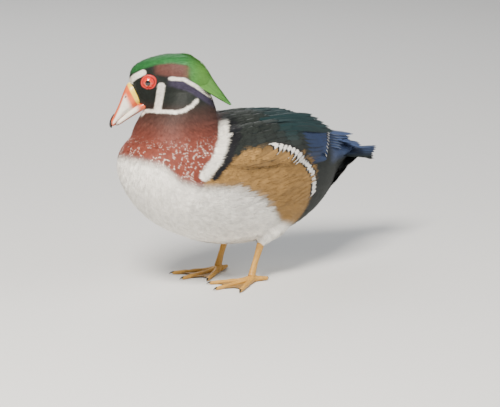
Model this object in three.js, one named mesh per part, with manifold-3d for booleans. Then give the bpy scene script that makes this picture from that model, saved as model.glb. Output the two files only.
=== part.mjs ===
// A wood duck drake, life size, standing with its neck drawn in and its head turned to its right.
// Millimetres, +Z up. The bird faces -X and its left side is -Y. The soles lie on z = 0.
import * as THREE from 'three';
import { mergeVertices } from 'three/addons/utils/BufferGeometryUtils.js';
import Module from 'manifold-3d';

const wasm = await Module();
wasm.setup();

// Driving dimensions. Places are measured from the left foot's ankle line (x), the mid line (y)
// and the floor (z).
const GAP = 0.45;
const BREAST_X = -122;
const BREAST_Z = 121;
const HALF_WIDTH = 53;
const BACK_TOP = 157;
const BELLY_LOW = 30;
const RUMP_X = 140;
const TAIL_TIP_X = 196;
const TAIL_TIP_Z = 97;
const HEAD_PLACE = new THREE.Vector3(-85, 14.5, 193.5);
const HEAD_TURN = THREE.MathUtils.degToRad(-45);
const HEAD_PITCH = THREE.MathUtils.degToRad(-25);
const EYE_RADIUS = 6.6;
const EYE_SIDE = 10.2;
const LID_SIDE = 12.9;
const LID_THICK = 1.15;
const SOCKET_ROOM = 0.35;
const NOSTRIL_X = -26.5;
const NOSTRIL_SIDE = 7;
const NOSTRIL_Z = -4.5;
const LEFT_FOOT = new THREE.Vector2(0, -30);
const RIGHT_FOOT = new THREE.Vector2(8, 22);
const HOCK_Z = 34;
const TOE_LENGTH = 50;
const HIND_TOE_LENGTH = 15;
const WEB_THICK = 1.1;
const VANE_THICK = 0.7;
const BROAD_VANE_THICK = 0.8;

const Y_AXIS = new THREE.Vector3(0, 1, 0);
const Z_AXIS = new THREE.Vector3(0, 0, 1);

// Surface colours, with roughness and metalness.
const FINISH = {
  breast: [0x6b2a22, 0.75, 0],
  belly: [0xe9e2d3, 0.85, 0],
  neck: [0x2c1620, 0.6, 0.1],
  head: [0x17452c, 0.45, 0.25],
  bill: [0xc8402a, 0.4, 0],
  billUnder: [0x2a2220, 0.45, 0],
  eye: [0xb3160f, 0.12, 0],
  wing: [0x1d2a33, 0.5, 0.25],
  tail: [0x18242c, 0.5, 0.2],
  leg: [0xc98a1e, 0.55, 0],
};

function material(name) {
  const [color, roughness, metalness] = FINISH[name];
  return new THREE.MeshStandardMaterial({ color, roughness, metalness });
}

// A form is a body through cross-sections. Each row holds a centre (x, y, z), the half width,
// and the reach above and below the centre.
function makeForm(rows, options = {}) {
  const centres = rows.map((row) => new THREE.Vector3(row[0], row[1], row[2]));
  const sizes = rows.map((row) => new THREE.Vector3(row[3], row[4], row[5]));
  return {
    path: new THREE.CatmullRomCurve3(centres, false, 'catmullrom', 0.5),
    reach: new THREE.CatmullRomCurve3(sizes, false, 'catmullrom', 0.5),
    side: options.side ?? Y_AXIS,
    up: options.up ?? null,
    fullness: options.fullness ?? 2,
    rings: options.rings ?? 12,
    sides: options.sides ?? 16,
  };
}

// A point on a form's surface. The angle starts at the top and turns towards the form's side.
function formPoint(form, t, angle, grow = 0) {
  const centre = form.path.getPoint(t);
  const reach = form.reach.getPoint(t);
  const up = form.up ?? form.path.getTangent(t).cross(form.side).normalize();
  const power = 2 / form.fullness;
  const across = Math.sign(Math.sin(angle)) * Math.abs(Math.sin(angle)) ** power;
  const along = Math.sign(Math.cos(angle)) * Math.abs(Math.cos(angle)) ** power;
  const height = along > 0 ? Math.max(reach.y, 0) + grow : Math.max(reach.z, 0) + grow;
  return centre
    .addScaledVector(form.side, across * (Math.max(reach.x, 0) + grow))
    .addScaledVector(up, along * height);
}

// Triangles through a list of closed rings, closed by a point at each end.
function closedSkin(rings, startPoint, endPoint) {
  const count = rings[0].length;
  const positions = [startPoint, ...rings.flat(), endPoint].flatMap((p) => p.toArray());
  const last = positions.length / 3 - 1;
  const index = [];
  for (let k = 0; k < count; k += 1) {
    const next = (k + 1) % count;
    index.push(0, 1 + k, 1 + next);
    for (let i = 0; i < rings.length - 1; i += 1) {
      const a = 1 + i * count;
      const b = a + count;
      index.push(a + k, b + k, b + next, a + k, b + next, a + next);
    }
    const end = 1 + (rings.length - 1) * count;
    index.push(end + k, last, end + next);
  }
  return facedOut(positions, index);
}

// The geometry of positions and triangles, turned so that its faces point outwards.
function facedOut(positions, index) {
  const corner = (k) => new THREE.Vector3().fromArray(positions, index[k] * 3);
  let volume = 0;
  for (let k = 0; k < index.length; k += 3) {
    volume += corner(k).dot(corner(k + 1).cross(corner(k + 2)));
  }
  if (volume < 0) {
    for (let k = 0; k < index.length; k += 3) {
      [index[k + 1], index[k + 2]] = [index[k + 2], index[k + 1]];
    }
  }
  const geometry = new THREE.BufferGeometry();
  geometry.setAttribute('position', new THREE.Float32BufferAttribute(positions, 3));
  geometry.setIndex(index);
  return geometry;
}

function formGeometry(form, grow = 0) {
  const rings = [];
  for (let i = 1; i < form.rings; i += 1) {
    const ring = [];
    for (let k = 0; k < form.sides; k += 1) {
      ring.push(formPoint(form, i / form.rings, (k / form.sides) * Math.PI * 2, grow));
    }
    rings.push(ring);
  }
  const start = form.path.getPoint(0).addScaledVector(form.path.getTangent(0), -grow);
  const end = form.path.getPoint(1).addScaledVector(form.path.getTangent(1), grow);
  return closedSkin(rings, start, end);
}

// Shares of a vane's width along its length, from the root to the tip.
const LONG_VANE = [[0, 0.3], [0.3, 0.9], [0.68, 1], [0.9, 0.72], [1, 0.2]];
const SHORT_VANE = [[0, 0.35], [0.45, 1], [0.82, 0.85], [1, 0.25]];
const TAIL_VANE = [[0, 0.4], [0.3, 0.75], [0.7, 1], [0.93, 0.85], [1, 0.3]];

// A feather's vane: a thin closed blade along a curve through its stations. Each station is a point
// with the blade's normal there. Both faces are split alike.
function vaneGeometry({ stations, width, thick, outline = LONG_VANE, tilt = 0 }, grow = 0) {
  const curve = new THREE.CatmullRomCurve3(stations.map((s) => s.point), false, 'catmullrom', 0.5);
  const facing = new THREE.CatmullRomCurve3(stations.map((s) => s.normal), false, 'catmullrom', 0.5);
  const positions = [];
  outline.forEach(([t, share]) => {
    const centre = curve.getPoint(t);
    const tangent = curve.getTangent(t);
    const across = tangent.clone().cross(facing.getPoint(t)).normalize().applyAxisAngle(tangent, tilt);
    const normal = across.clone().cross(tangent).normalize();
    const half = (width * share) / 2 + grow;
    const rise = (thick * (0.55 + 0.45 * Math.min(1, share + 0.2))) / 2 + grow;
    centre.addScaledVector(tangent, grow * (t * 2 - 1));
    [[-1, 1], [1, 1], [1, -1], [-1, -1]].forEach(([a, n]) => {
      const corner = centre.clone().addScaledVector(across, a * half).addScaledVector(normal, n * rise);
      positions.push(...corner.toArray());
    });
  });
  const index = [0, 1, 2, 0, 2, 3];
  for (let i = 0; i < outline.length - 1; i += 1) {
    const a = i * 4;
    const b = a + 4;
    index.push(a, b + 1, a + 1, a, b, b + 1);
    index.push(a + 1, b + 1, b + 2, a + 1, b + 2, a + 2);
    index.push(a + 3, a + 2, b + 2, a + 3, b + 2, b + 3);
    index.push(a + 3, b, a, a + 3, b + 3, b);
  }
  const end = (outline.length - 1) * 4;
  index.push(end, end + 2, end + 1, end, end + 3, end + 2);
  return facedOut(positions, index);
}

// Seeded draws between -1 and 1, so that like feathers vary a little.
const DRAW_STEP = 16807;
const DRAW_RANGE = 2147483647;
let drawn = 7;
function vary(amount) {
  drawn = (drawn * DRAW_STEP) % DRAW_RANGE;
  return ((drawn / DRAW_RANGE) * 2 - 1) * amount;
}

// A place on a form that lies along X: how far along (x), round from the top (degrees, on one side)
// and out from the surface. The distance along is found by halving.
const HALVINGS = 22;
const SMALL_TURN = 0.02;
const SMALL_PART = 0.01;
function placeOn(form, x, degrees, out, side) {
  let low = 0;
  let high = 1;
  for (let step = 0; step < HALVINGS; step += 1) {
    const middle = (low + high) / 2;
    if (form.path.getPoint(middle).x < x) {
      low = middle;
    } else {
      high = middle;
    }
  }
  const angle = side * THREE.MathUtils.degToRad(degrees);
  const point = formPoint(form, low, angle);
  const round = formPoint(form, low, angle + side * SMALL_TURN).sub(point).normalize();
  const along = formPoint(form, low + SMALL_PART, angle).sub(point).normalize();
  const normal = along.cross(round).multiplyScalar(side).normalize();
  return { point: point.addScaledVector(normal, out), normal };
}

// Solids for joining and cutting.
function solid(geometry) {
  const bare = geometry.clone();
  bare.deleteAttribute('normal');
  bare.deleteAttribute('uv');
  const merged = mergeVertices(bare, 1e-4);
  const mesh = new wasm.Mesh({
    numProp: 3,
    vertProperties: new Float32Array(merged.attributes.position.array),
    triVerts: new Uint32Array(merged.index.array),
  });
  return new wasm.Manifold(mesh);
}

// A core with its feathers.
function joined(core, vanes, grow = 0) {
  return wasm.Manifold.union([core, ...vanes.map((vane) => solid(vaneGeometry(vane, grow)))]);
}

// The geometry of a solid, and of its largest closed surface.
function largest(body) {
  const pieces = body.decompose();
  return geometryOf(pieces.reduce((best, piece) => (piece.volume() > best.volume() ? piece : best)));
}

function geometryOf(body) {
  const mesh = body.getMesh();
  const geometry = new THREE.BufferGeometry();
  const position = new THREE.Float32BufferAttribute(mesh.vertProperties, mesh.numProp);
  geometry.setAttribute('position', position);
  geometry.setIndex(Array.from(mesh.triVerts));
  return geometry;
}

function addNode(parent, name, finish, geometry) {
  const mesh = new THREE.Mesh(geometry, material(finish));
  mesh.name = name;
  parent.add(mesh);
  return mesh;
}

const duck = new THREE.Group();
const bird = new THREE.Group();
duck.add(bird);

// Torso: breast, belly and back in one body, from the front of the breast to the rump.
const torso = makeForm([
  [BREAST_X, 0, BREAST_Z, 0, 0, 0],
  [-117, 0, 119.5, 24, 19, 21],
  [-103, 0, 114, 37, 34, 36],
  [-82, 0, 108, 47, 46, 49],
  [-54, 0, 102, 52, 54, 57],
  [-20, 0, 98, HALF_WIDTH, BACK_TOP - 98, 64],
  [18, 0, 96, 53, BACK_TOP - 98, 96 - BELLY_LOW],
  [52, 0, 96, 50, 55, 62],
  [80, 0, 97, 42, 48, 56],
  [106, 0, 98, 30, 35, 46],
  [128, 0, 99, 16, 19, 31],
  [RUMP_X, 0, 100, 0, 0, 0],
], { up: Z_AXIS, fullness: 2.15, rings: 20, sides: 24 });
const torsoCut = solid(formGeometry(torso, GAP));

// Head: face, cheeks and crown, in its own frame, with the eyes at its origin.
const headPlacing = new THREE.Matrix4().compose(
  HEAD_PLACE,
  new THREE.Quaternion().setFromEuler(new THREE.Euler(0, HEAD_PITCH, HEAD_TURN, 'ZYX')),
  new THREE.Vector3(1, 1, 1),
);
const head = makeForm([
  [-20.5, 0, -6.5, 0, 0, 0],
  [-17.5, 0, -6.5, 8.5, 12.5, 12.5],
  [-11, 0, -6.2, 12, 22.6, 20],
  [0, 0, -7, 15.2, 26, 23],
  [12, 0, -9, 18.5, 26.8, 22.5],
  [26, 0, -11, 19, 25.2, 21],
  [38, 0, -14, 15.5, 19.5, 17],
  [47, 0, -17, 8.5, 11.5, 10],
  [51, 0, -18, 0, 0, 0],
], { up: Z_AXIS, fullness: 2.2, rings: 15, sides: 20 });
const headCut = solid(formGeometry(head, GAP));
const headCutPlaced = solid(formGeometry(head, GAP).applyMatrix4(headPlacing));

// Neck: a short flared cone between the shoulders and the head.
const NECK_TURN = THREE.MathUtils.degToRad(-22);
const neck = makeForm([
  [-66, 0, 100, 0, 0, 0],
  [-68, 0, 116, 42, 42, 44],
  [-70, 0, 134, 41, 41, 46],
  [-70, -1, 149, 37, 36, 44],
  [-68, -3, 162, 30.5, 30, 40],
  [-67, -5, 174, 24.5, 24, 34],
  [-67, -6, 185, 18, 17, 25],
  [-68, -6, 192, 0, 0, 0],
], { side: Y_AXIS.clone().applyAxisAngle(Z_AXIS, NECK_TURN), rings: 12, sides: 20 });
const neckSolid = solid(formGeometry(neck)).subtract(torsoCut).subtract(headCutPlaced);

// Crest: long feathers from the crown and the sides of the head, which meet in a drooping point.
// The share runs from -1 on the left side of the head over 0 on the crown to 1 on the right.
const crestCore = makeForm([
  [16, 0, 2, 0, 0, 0],
  [26, 0, 2, 14, 10.5, 10],
  [36, 0, -0.5, 13, 8.3, 12],
  [43, 0, -9, 10, 5, 9],
  [47, 0, -21, 6, 2.4, 5],
  [49.5, 0, -33, 3, 1.4, 2.5],
  [52, 0, -43, 0, 0, 0],
], { rings: 9, sides: 12 });
const CREST_VANE = [[0, 0.35], [0.25, 0.9], [0.5, 1], [0.75, 0.8], [1, 0.15]];
const CREST_OVER = [[30, 0, 13], [41.8, 0, 7.2], [50, 0, -8.5], [50.5, 0, -27], [56, 0, -52]];
const CREST_UNDER = [[26, 18, -9], [35, 15, -18], [42, 10, -28], [48, 5.5, -39], [55, 1.5, -51]];
// Layers from the inmost out: their lift, and each vane's share with the stations it runs through.
const CREST_LAYERS = [
  { lift: 0, width: 10, vanes: [[-0.95, 5], [-0.5, 6], [0, 5], [0.5, 6], [0.95, 5]] },
  { lift: 1.3, width: 10, vanes: [[-0.75, 5], [-0.3, 5], [0.3, 5], [0.75, 5]] },
  { lift: 2.2, width: 9, vanes: [[-0.42, 4], [0.42, 4]] },
];

function crestStations(share, lift, reach) {
  const size = Math.abs(share);
  const side = Math.sign(share) || 1;
  const stations = [placeOn(head, 16 - lift * 1.5, size * 82, -2.5, side)];
  CREST_OVER.forEach((over, k) => {
    const under = CREST_UNDER[k];
    const point = new THREE.Vector3().fromArray(over).lerp(new THREE.Vector3().fromArray(under), size);
    point.y *= side;
    const normal = new THREE.Vector3(0.35 + k * 0.15, side * size * 1.6, 1 - size * 0.5 - k * 0.18);
    normal.normalize();
    stations.push({ point: point.addScaledVector(normal, lift), normal });
  });
  return stations.slice(0, reach);
}

function crestSolid(grow = 0) {
  const vanes = CREST_LAYERS.flatMap(({ lift, width, vanes: layer }) => layer.map(([share, reach]) => ({
    stations: crestStations(share, lift, reach),
    width,
    thick: BROAD_VANE_THICK,
    outline: CREST_VANE,
    tilt: Math.sign(share) * 0.14,
  })));
  return joined(solid(formGeometry(crestCore, grow)), vanes, grow);
}

// Eyes, with a ring of lid round each.
const eyeGeometry = new THREE.SphereGeometry(EYE_RADIUS, 14, 9);
const socketGeometry = new THREE.SphereGeometry(EYE_RADIUS + SOCKET_ROOM, 14, 9);
const lidGeometry = new THREE.TorusGeometry(EYE_RADIUS - 0.1, LID_THICK, 5, 14);
lidGeometry.rotateX(Math.PI / 2);

// Upper bill, from the forehead to the nail, and the lower bill under it.
const billUpper = makeForm([
  [-11.5, 0, -6.5, 0, 0, 0],
  [-13.5, 0, -6, 7.5, 10, 9],
  [-19.5, 0, -6.5, 9.3, 11.5, 11],
  [-26.5, 0, -10, 8.9, 9.5, 8.6],
  [-34.5, 0, -15, 8.2, 6.6, 5],
  [-42, 0, -19, 8, 4.2, 3.2],
  [-47, 0, -21.5, 6.6, 3, 3.2],
  [-49.5, 0, -23.5, 0, 0, 0],
], { up: Z_AXIS, fullness: 2.3, rings: 12, sides: 14 });
const billLower = makeForm([
  [-9.5, 0, -18.5, 0, 0, 0],
  [-12.5, 0, -18.5, 7, 3.5, 3.5],
  [-21.5, 0, -19, 8, 3.5, 4],
  [-33.5, 0, -21.5, 7.2, 3.5, 3],
  [-43.5, 0, -23.5, 6.2, 3, 2.2],
  [-46.5, 0, -23.9, 0, 0, 0],
], { up: Z_AXIS, fullness: 2.3, rings: 8, sides: 12 });
const billCut = solid(formGeometry(billUpper, GAP));

const headGroup = new THREE.Group();
headGroup.applyMatrix4(headPlacing);
bird.add(headGroup);

let headSolid = solid(formGeometry(head)).add(crestSolid());
[-1, 1].forEach((side) => {
  headSolid = headSolid.add(solid(lidGeometry.clone().translate(0, side * LID_SIDE, 0)));
});
[-1, 1].forEach((side) => {
  headSolid = headSolid.subtract(solid(socketGeometry.clone().translate(0, side * EYE_SIDE, 0)));
});
const headWhole = largest(headSolid);
addNode(headGroup, 'head', 'head', headWhole);
const NOSTRIL_REACH = new THREE.Vector3(3, 1.5, 1.3);
const NOSTRIL_TURN = THREE.MathUtils.degToRad(28);
const nostrils = [-1, 1].map((side) => {
  const hollow = new THREE.SphereGeometry(1, 8, 6).scale(...NOSTRIL_REACH);
  return solid(hollow.rotateY(NOSTRIL_TURN).translate(NOSTRIL_X, side * NOSTRIL_SIDE, NOSTRIL_Z));
});
const billUpperWhole = solid(formGeometry(billUpper)).subtract(headCut);
const billUpperSolid = billUpperWhole.subtract(wasm.Manifold.union(nostrils));
addNode(headGroup, 'bill_upper', 'bill', largest(billUpperSolid));
const billLowerSolid = solid(formGeometry(billLower)).subtract(headCut).subtract(billCut);
addNode(headGroup, 'bill_lower', 'billUnder', largest(billLowerSolid));
[['eye_left', -1], ['eye_right', 1]].forEach(([name, side]) => {
  addNode(headGroup, name, 'eye', largest(solid(eyeGeometry.clone().translate(0, side * EYE_SIDE, 0))));
});
const neckCuts = [billUpper, billLower].map((form) => {
  return solid(formGeometry(form, GAP).applyMatrix4(headPlacing));
});
neckCuts.push(solid(geometryOf(crestSolid(GAP)).applyMatrix4(headPlacing)));
addNode(bird, 'neck', 'neck', largest(neckSolid.subtract(wasm.Manifold.union(neckCuts))));

// Tail: a short core at the rump, which carries the fan of tail feathers and their coverts.
const tailCore = makeForm([
  [112, 0, 98, 0, 0, 0],
  [116, 0, 98, 22, 25, 36],
  [128, 0, 98, 17.5, 20, 29],
  [140, 0, 99, 14, 12.5, 17],
  [152, 0, 99, 11, 6.5, 8],
  [162, 0, 99, 6, 2.5, 3],
  [166, 0, 99, 0, 0, 0],
], { up: Z_AXIS, rings: 8, sides: 14 });
const TAIL_PAIRS = 5;
const TAIL_ROOT = new THREE.Vector3(120, 0, 103);
const TAIL_ARCH = 0.01;
const LEFT_STEP = 0.9;

// A place on an arched fan, which drops to both sides of the mid line.
function archPlace(x, y, z, arch) {
  return {
    point: new THREE.Vector3(x, y, z - arch * y * y),
    normal: new THREE.Vector3(0, 2 * arch * y, 1).normalize(),
  };
}

// Tail feathers: a pair lies over the next pair, and each right one over its left one.
function tailVanes() {
  const vanes = [];
  for (let k = 0; k < TAIL_PAIRS; k += 1) {
    [-1, 1].forEach((side) => {
      const layer = k + (side < 0 ? LEFT_STEP : 0);
      const stations = [0, 0.35, 0.7, 1].map((part) => archPlace(
        THREE.MathUtils.lerp(TAIL_ROOT.x, TAIL_TIP_X - k * 2.2, part),
        side * THREE.MathUtils.lerp(1.5 + k * 1.8, 3 + k * 4.5, part),
        THREE.MathUtils.lerp(TAIL_ROOT.z, TAIL_TIP_Z, part ** 1.3) - layer,
        TAIL_ARCH,
      ));
      vanes.push({ stations, width: k === 0 ? 9 : 11.5, thick: 0.65, outline: TAIL_VANE });
    });
  }
  return vanes;
}

// Coverts over and under the tail, in tiers. A tier holds its vanes' places across, as shares; its
// ends along (x); heights on the mid line at both ends; half widths there; and its arch.
const TAIL_COVERT_TIERS = [
  { shares: [-1, -0.34, 0.34, 1], x: [120, 153], z: [121, 111.5], half: [9, 13], arch: 0.015 },
  { shares: [-1, -0.34, 0.34, 1], x: [130, 169], z: [113, 102.8], half: [8, 13], arch: 0.012 },
  { shares: [-1, -0.34, 0.34, 1], x: [120, 152], z: [69, 85.5], half: [12, 8], arch: -0.02 },
  { shares: [-1, -0.34, 0.34, 1], x: [130, 168], z: [79, 92], half: [10, 7], arch: -0.015 },
];

function tailCoverts() {
  return TAIL_COVERT_TIERS.flatMap(({ shares, x, z, half, arch }) => shares.map((share) => {
    const layer = Math.abs(share) * 2.2 + (share < 0 ? LEFT_STEP : 0);
    const reach = x[1] - share * share * 5 + vary(1);
    const stations = [0, 0.5, 1].map((part) => archPlace(
      THREE.MathUtils.lerp(x[0], reach, part),
      share * THREE.MathUtils.lerp(half[0], half[1], part),
      THREE.MathUtils.lerp(z[0], z[1], part) - Math.sign(arch) * layer,
      arch,
    ));
    return { stations, width: 10, thick: VANE_THICK, outline: SHORT_VANE };
  }));
}

// Wings: each is a folded arm fitted to the side, which carries the coverts, the tertials and the
// primaries in tiers. A row holds the distance along, the angle round the torso, half the span round
// it, and how far the arm stands proud.
const WING_ROWS = [
  [-62, 60, 10, 2],
  [-46, 56, 17, 3.2],
  [-20, 52, 21, 4],
  [10, 51, 22, 4],
  [40, 50, 22, 4],
  [62, 49, 20, 3.2],
  [76, 48, 14, 2],
];
const WING_FRONT = { x: -69, degrees: 62, out: 1 };
const WING_BACK = { x: 82, degrees: 47, out: 1 };
const WING_ARC = 6;
const WING_SUNK = -4;
const WING_LIFT = 2.6;
const WING_MARGIN = 14;

function wingStation(x) {
  const rows = WING_ROWS;
  const last = rows.length - 1;
  const at = THREE.MathUtils.clamp(x, rows[0][0], rows[last][0]);
  const next = Math.max(1, rows.findIndex((row) => row[0] >= at));
  const part = (at - rows[next - 1][0]) / (rows[next][0] - rows[next - 1][0]);
  return rows[next].map((value, k) => THREE.MathUtils.lerp(rows[next - 1][k], value, part));
}

function wingPlace(x, share, lift, side) {
  const [, degrees, span, proud] = wingStation(x);
  const high = 0.6 + proud * Math.sqrt(Math.max(0, 1 - share * share));
  return placeOn(torso, x, degrees + share * span, high + lift, side);
}

function wingCore(side) {
  const rings = WING_ROWS.map(([x]) => {
    const ring = [];
    for (let k = 0; k <= WING_ARC; k += 1) {
      ring.push(wingPlace(x, (k / WING_ARC) * 2 - 1, 0, side).point);
    }
    const [, degrees, span] = wingStation(x);
    for (let k = WING_ARC; k >= 0; k -= 2) {
      const angle = degrees + ((k / WING_ARC) * 2 - 1) * span;
      ring.push(placeOn(torso, x, angle, WING_SUNK, side).point);
    }
    return ring;
  });
  const start = placeOn(torso, WING_FRONT.x, WING_FRONT.degrees, WING_FRONT.out, side).point;
  const end = placeOn(torso, WING_BACK.x, WING_BACK.degrees, WING_BACK.out, side).point;
  return closedSkin(rings, start, end);
}

// Tiers of coverts: where they root, how many, how long, and how high their tips lie on the arm.
const COVERT_TIERS = [
  { x: -54, count: 3, length: 31, width: 15, edge: 0.6 },
  { x: -34, count: 4, length: 36, width: 14.5, edge: 0.68 },
  { x: -9, count: 4, length: 43, width: 14.5, edge: 0.7 },
];
const SHINGLE_TILT = 0.17;

function wingVanes(side) {
  const vanes = [];
  const tilt = side * SHINGLE_TILT;
  COVERT_TIERS.forEach(({ x, count, length, width, edge }) => {
    for (let k = 0; k < count; k += 1) {
      const share = THREE.MathUtils.lerp(-edge, edge, k / (count - 1));
      const root = x + 5 * share * share + vary(1);
      const stations = [[0, -2.2], [0.4, 0.4], [1, 3.1]].map(([part, lift]) => {
        return wingPlace(root + length * part, share, lift, side);
      });
      vanes.push({ stations, width, thick: VANE_THICK, outline: SHORT_VANE, tilt });
    }
  });
  // Tertials and secondaries, from the upper edge down.
  for (let k = 0; k < 5; k += 1) {
    const share = THREE.MathUtils.lerp(-0.72, 0.72, k / 4);
    const stations = [
      wingPlace(20, share, -2.2, side),
      wingPlace(44, share, 0.6, side),
      placeOn(torso, 76, 47 + share * 23, 5.8, side),
      placeOn(torso, 112 - k * 3.5, 40 + share * 22, 7.4, side),
    ];
    vanes.push({ stations, width: 13, thick: VANE_THICK, tilt });
  }
  // Primaries, of which the longest ends over the tail.
  for (let k = 0; k < 4; k += 1) {
    const stations = [
      wingPlace(56, 0.1 + k * 0.16, -2.4, side),
      placeOn(torso, 86, 48 + k * 6, 3.2 - k, side),
      { x: 122 - k, y: 12 + k * 2.4, z: 120 - k * 3.2, normal: [0.25, 0.55, 0.8] },
      { x: 159 - k * 7, y: 6.5 + k * 1.6, z: 113.5 - k * 2, normal: [0.2, 0.4, 0.9] },
    ].map((place) => (place.point ? place : {
      point: new THREE.Vector3(place.x, side * place.y, place.z),
      normal: new THREE.Vector3(place.normal[0], side * place.normal[1], place.normal[2]).normalize(),
    }));
    vanes.push({ stations, width: 10, thick: VANE_THICK });
  }
  return vanes;
}

// Legs: feathered thigh, bare shank and webbed foot, on each side.
function legForms(place) {
  const { x, y } = place;
  const thigh = makeForm([
    [x + 44, y * 0.85, 66, 0, 0, 0],
    [x + 38, y * 0.9, 59, 15, 15, 15],
    [x + 27, y * 0.97, 49, 14, 13, 13],
    [x + 17, y, 41, 8.5, 8, 8],
    [x + 11.5, y, HOCK_Z, 4.2, 4.2, 4.2],
    [x + 10, y, HOCK_Z - 2.5, 0, 0, 0],
  ], { rings: 10, sides: 14 });
  const shank = makeForm([
    [x + 12, y, HOCK_Z + 1.5, 0, 0, 0],
    [x + 11.2, y, HOCK_Z - 0.5, 3.1, 3.4, 3.4],
    [x + 8.5, y, HOCK_Z - 7, 2.7, 3.1, 3.1],
    [x + 4.5, y, 18, 2.3, 2.8, 2.8],
    [x + 1, y, 9, 2.9, 3.2, 3.2],
    [x, y, 6, 3.2, 3.3, 3.3],
    [x - 0.6, y, 4, 0, 0, 0],
  ], { rings: 8, sides: 8 });
  return { thigh, shank };
}

const FLOOR_SLAB = new THREE.BoxGeometry(400, 400, 20).translate(0, 0, -10);
const TOES = [
  { turn: 0, length: TOE_LENGTH },
  { turn: 31, length: TOE_LENGTH * 0.94 },
  { turn: -31, length: TOE_LENGTH * 0.86 },
];

const HIND_TOE_TURN = 0.35;
const WEB_REACH = 0.86;
const WEB_HOLLOW = 0.62;
const WEB_LOW = 0.5;

// One toe with its claw, lying along -X from the ankle, then turned about it.
function toeGeometry(length) {
  const toe = makeForm([
    [3, 0, 4, 0, 0, 0],
    [1, 0, 3.8, 3.2, 2.8, 4.2],
    [-length * 0.2, 0, 2.4, 2.6, 2.3, 2.8],
    [-length * 0.45, 0, 1.8, 2.5, 2, 2.2],
    [-length * 0.7, 0, 1.5, 2.1, 1.7, 1.9],
    [-length * 0.88, 0, 1.5, 1.6, 1.5, 1.7],
    [-length * 0.97, 0, 1.2, 0.9, 0.9, 1],
    [-length, 0, 0.7, 0, 0, 0],
  ], { up: Z_AXIS, rings: 9, sides: 6 });
  return formGeometry(toe);
}

function webGeometry(first, second, side) {
  const outline = new THREE.Shape();
  const tip = (toe, part) => {
    const turn = side * THREE.MathUtils.degToRad(toe.turn);
    const span = toe.length * part;
    return new THREE.Vector2(-Math.cos(turn) * span, -Math.sin(turn) * span);
  };
  const a = tip(first, WEB_REACH);
  const b = tip(second, WEB_REACH);
  const hollow = tip(first, WEB_HOLLOW).add(tip(second, WEB_HOLLOW)).multiplyScalar(0.5);
  outline.moveTo(0, 0);
  outline.lineTo(a.x, a.y);
  outline.quadraticCurveTo(hollow.x, hollow.y, b.x, b.y);
  outline.closePath();
  const extrusion = { depth: WEB_THICK, bevelEnabled: false, curveSegments: 4 };
  return new THREE.ExtrudeGeometry(outline, extrusion).translate(0, 0, WEB_LOW);
}

function footGeometry(side, place) {
  const parts = TOES.map((toe) => {
    return solid(toeGeometry(toe.length).rotateZ(side * THREE.MathUtils.degToRad(toe.turn)));
  });
  parts.push(solid(webGeometry(TOES[0], TOES[1], side)));
  parts.push(solid(webGeometry(TOES[0], TOES[2], side)));
  const hindToe = toeGeometry(HIND_TOE_LENGTH).rotateZ(Math.PI - side * HIND_TOE_TURN);
  parts.push(solid(hindToe.translate(3, 0, 0.6)));
  return largest(wasm.Manifold.union(parts)).translate(place.x, place.y, 0);
}

[['left', 1, LEFT_FOOT], ['right', -1, RIGHT_FOOT]].forEach(([word, side, place]) => {
  const { thigh, shank } = legForms(place);
  const thighSolid = solid(formGeometry(thigh)).subtract(torsoCut);
  addNode(bird, `thigh_${word}`, 'belly', largest(thighSolid));
  const foot = solid(footGeometry(side, place)).subtract(solid(FLOOR_SLAB));
  const shankCut = solid(formGeometry(shank, GAP));
  const thighCut = solid(formGeometry(thigh, GAP));
  const shankSolid = solid(formGeometry(shank)).subtract(thighCut).subtract(torsoCut);
  addNode(bird, `shank_${word}`, 'leg', largest(shankSolid));
  addNode(bird, `foot_${word}`, 'leg', largest(foot.subtract(shankCut)));
});

// Feathers of the torso that lie over the wings: the scapulars from the back, and the long flank
// feathers from the side below.
function overWing(x, degrees) {
  const [, middle, span, proud] = wingStation(x);
  const share = Math.abs(degrees - middle) / (span + WING_MARGIN);
  return share < 1 ? (proud + WING_LIFT) * Math.sqrt(1 - share * share) : 0;
}

function scapulars(side) {
  return Array.from({ length: 5 }, (_, k) => {
    const x = -48 + k * 17 + vary(1);
    const stations = [0, 0.33, 0.67, 1].map((part) => {
      const degrees = 15 + 17 * part ** 0.8;
      const along = x + 54 * part;
      return placeOn(torso, along, degrees, -1.5 + part * 4.4 + overWing(along, degrees), side);
    });
    return { stations, width: 16, thick: BROAD_VANE_THICK };
  });
}

const FLANK_ROWS = [
  { first: -54, step: 19, count: 5, from: 90, to: 69, length: 52, width: 18 },
  { first: -44, step: 20, count: 5, from: 109, to: 90, length: 48, width: 19 },
];

function flankFeathers(side) {
  return FLANK_ROWS.flatMap(({ first, step, count, from, to, length, width }) => {
    return Array.from({ length: count }, (_, k) => {
      const x = first + k * step + vary(1);
      const stations = [0, 0.35, 0.7, 1].map((part) => {
        const degrees = THREE.MathUtils.lerp(from, to, Math.sin(part * 1.5) ** 1.1);
        const along = x + length * part;
        return placeOn(torso, along, degrees, -1.8 + part * 4.4 + overWing(along, degrees), side);
      });
      return { stations, width, thick: BROAD_VANE_THICK };
    });
  });
}

const torsoVanes = [-1, 1].flatMap((side) => [...scapulars(side), ...flankFeathers(side)]);
const neckCut = solid(formGeometry(neck, GAP));
const torsoFeathers = wasm.Manifold.union(torsoVanes.map((vane) => solid(vaneGeometry(vane))));
const torsoSolid = solid(formGeometry(torso)).add(torsoFeathers.subtract(neckCut));
addNode(bird, 'torso', 'breast', largest(torsoSolid));

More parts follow.
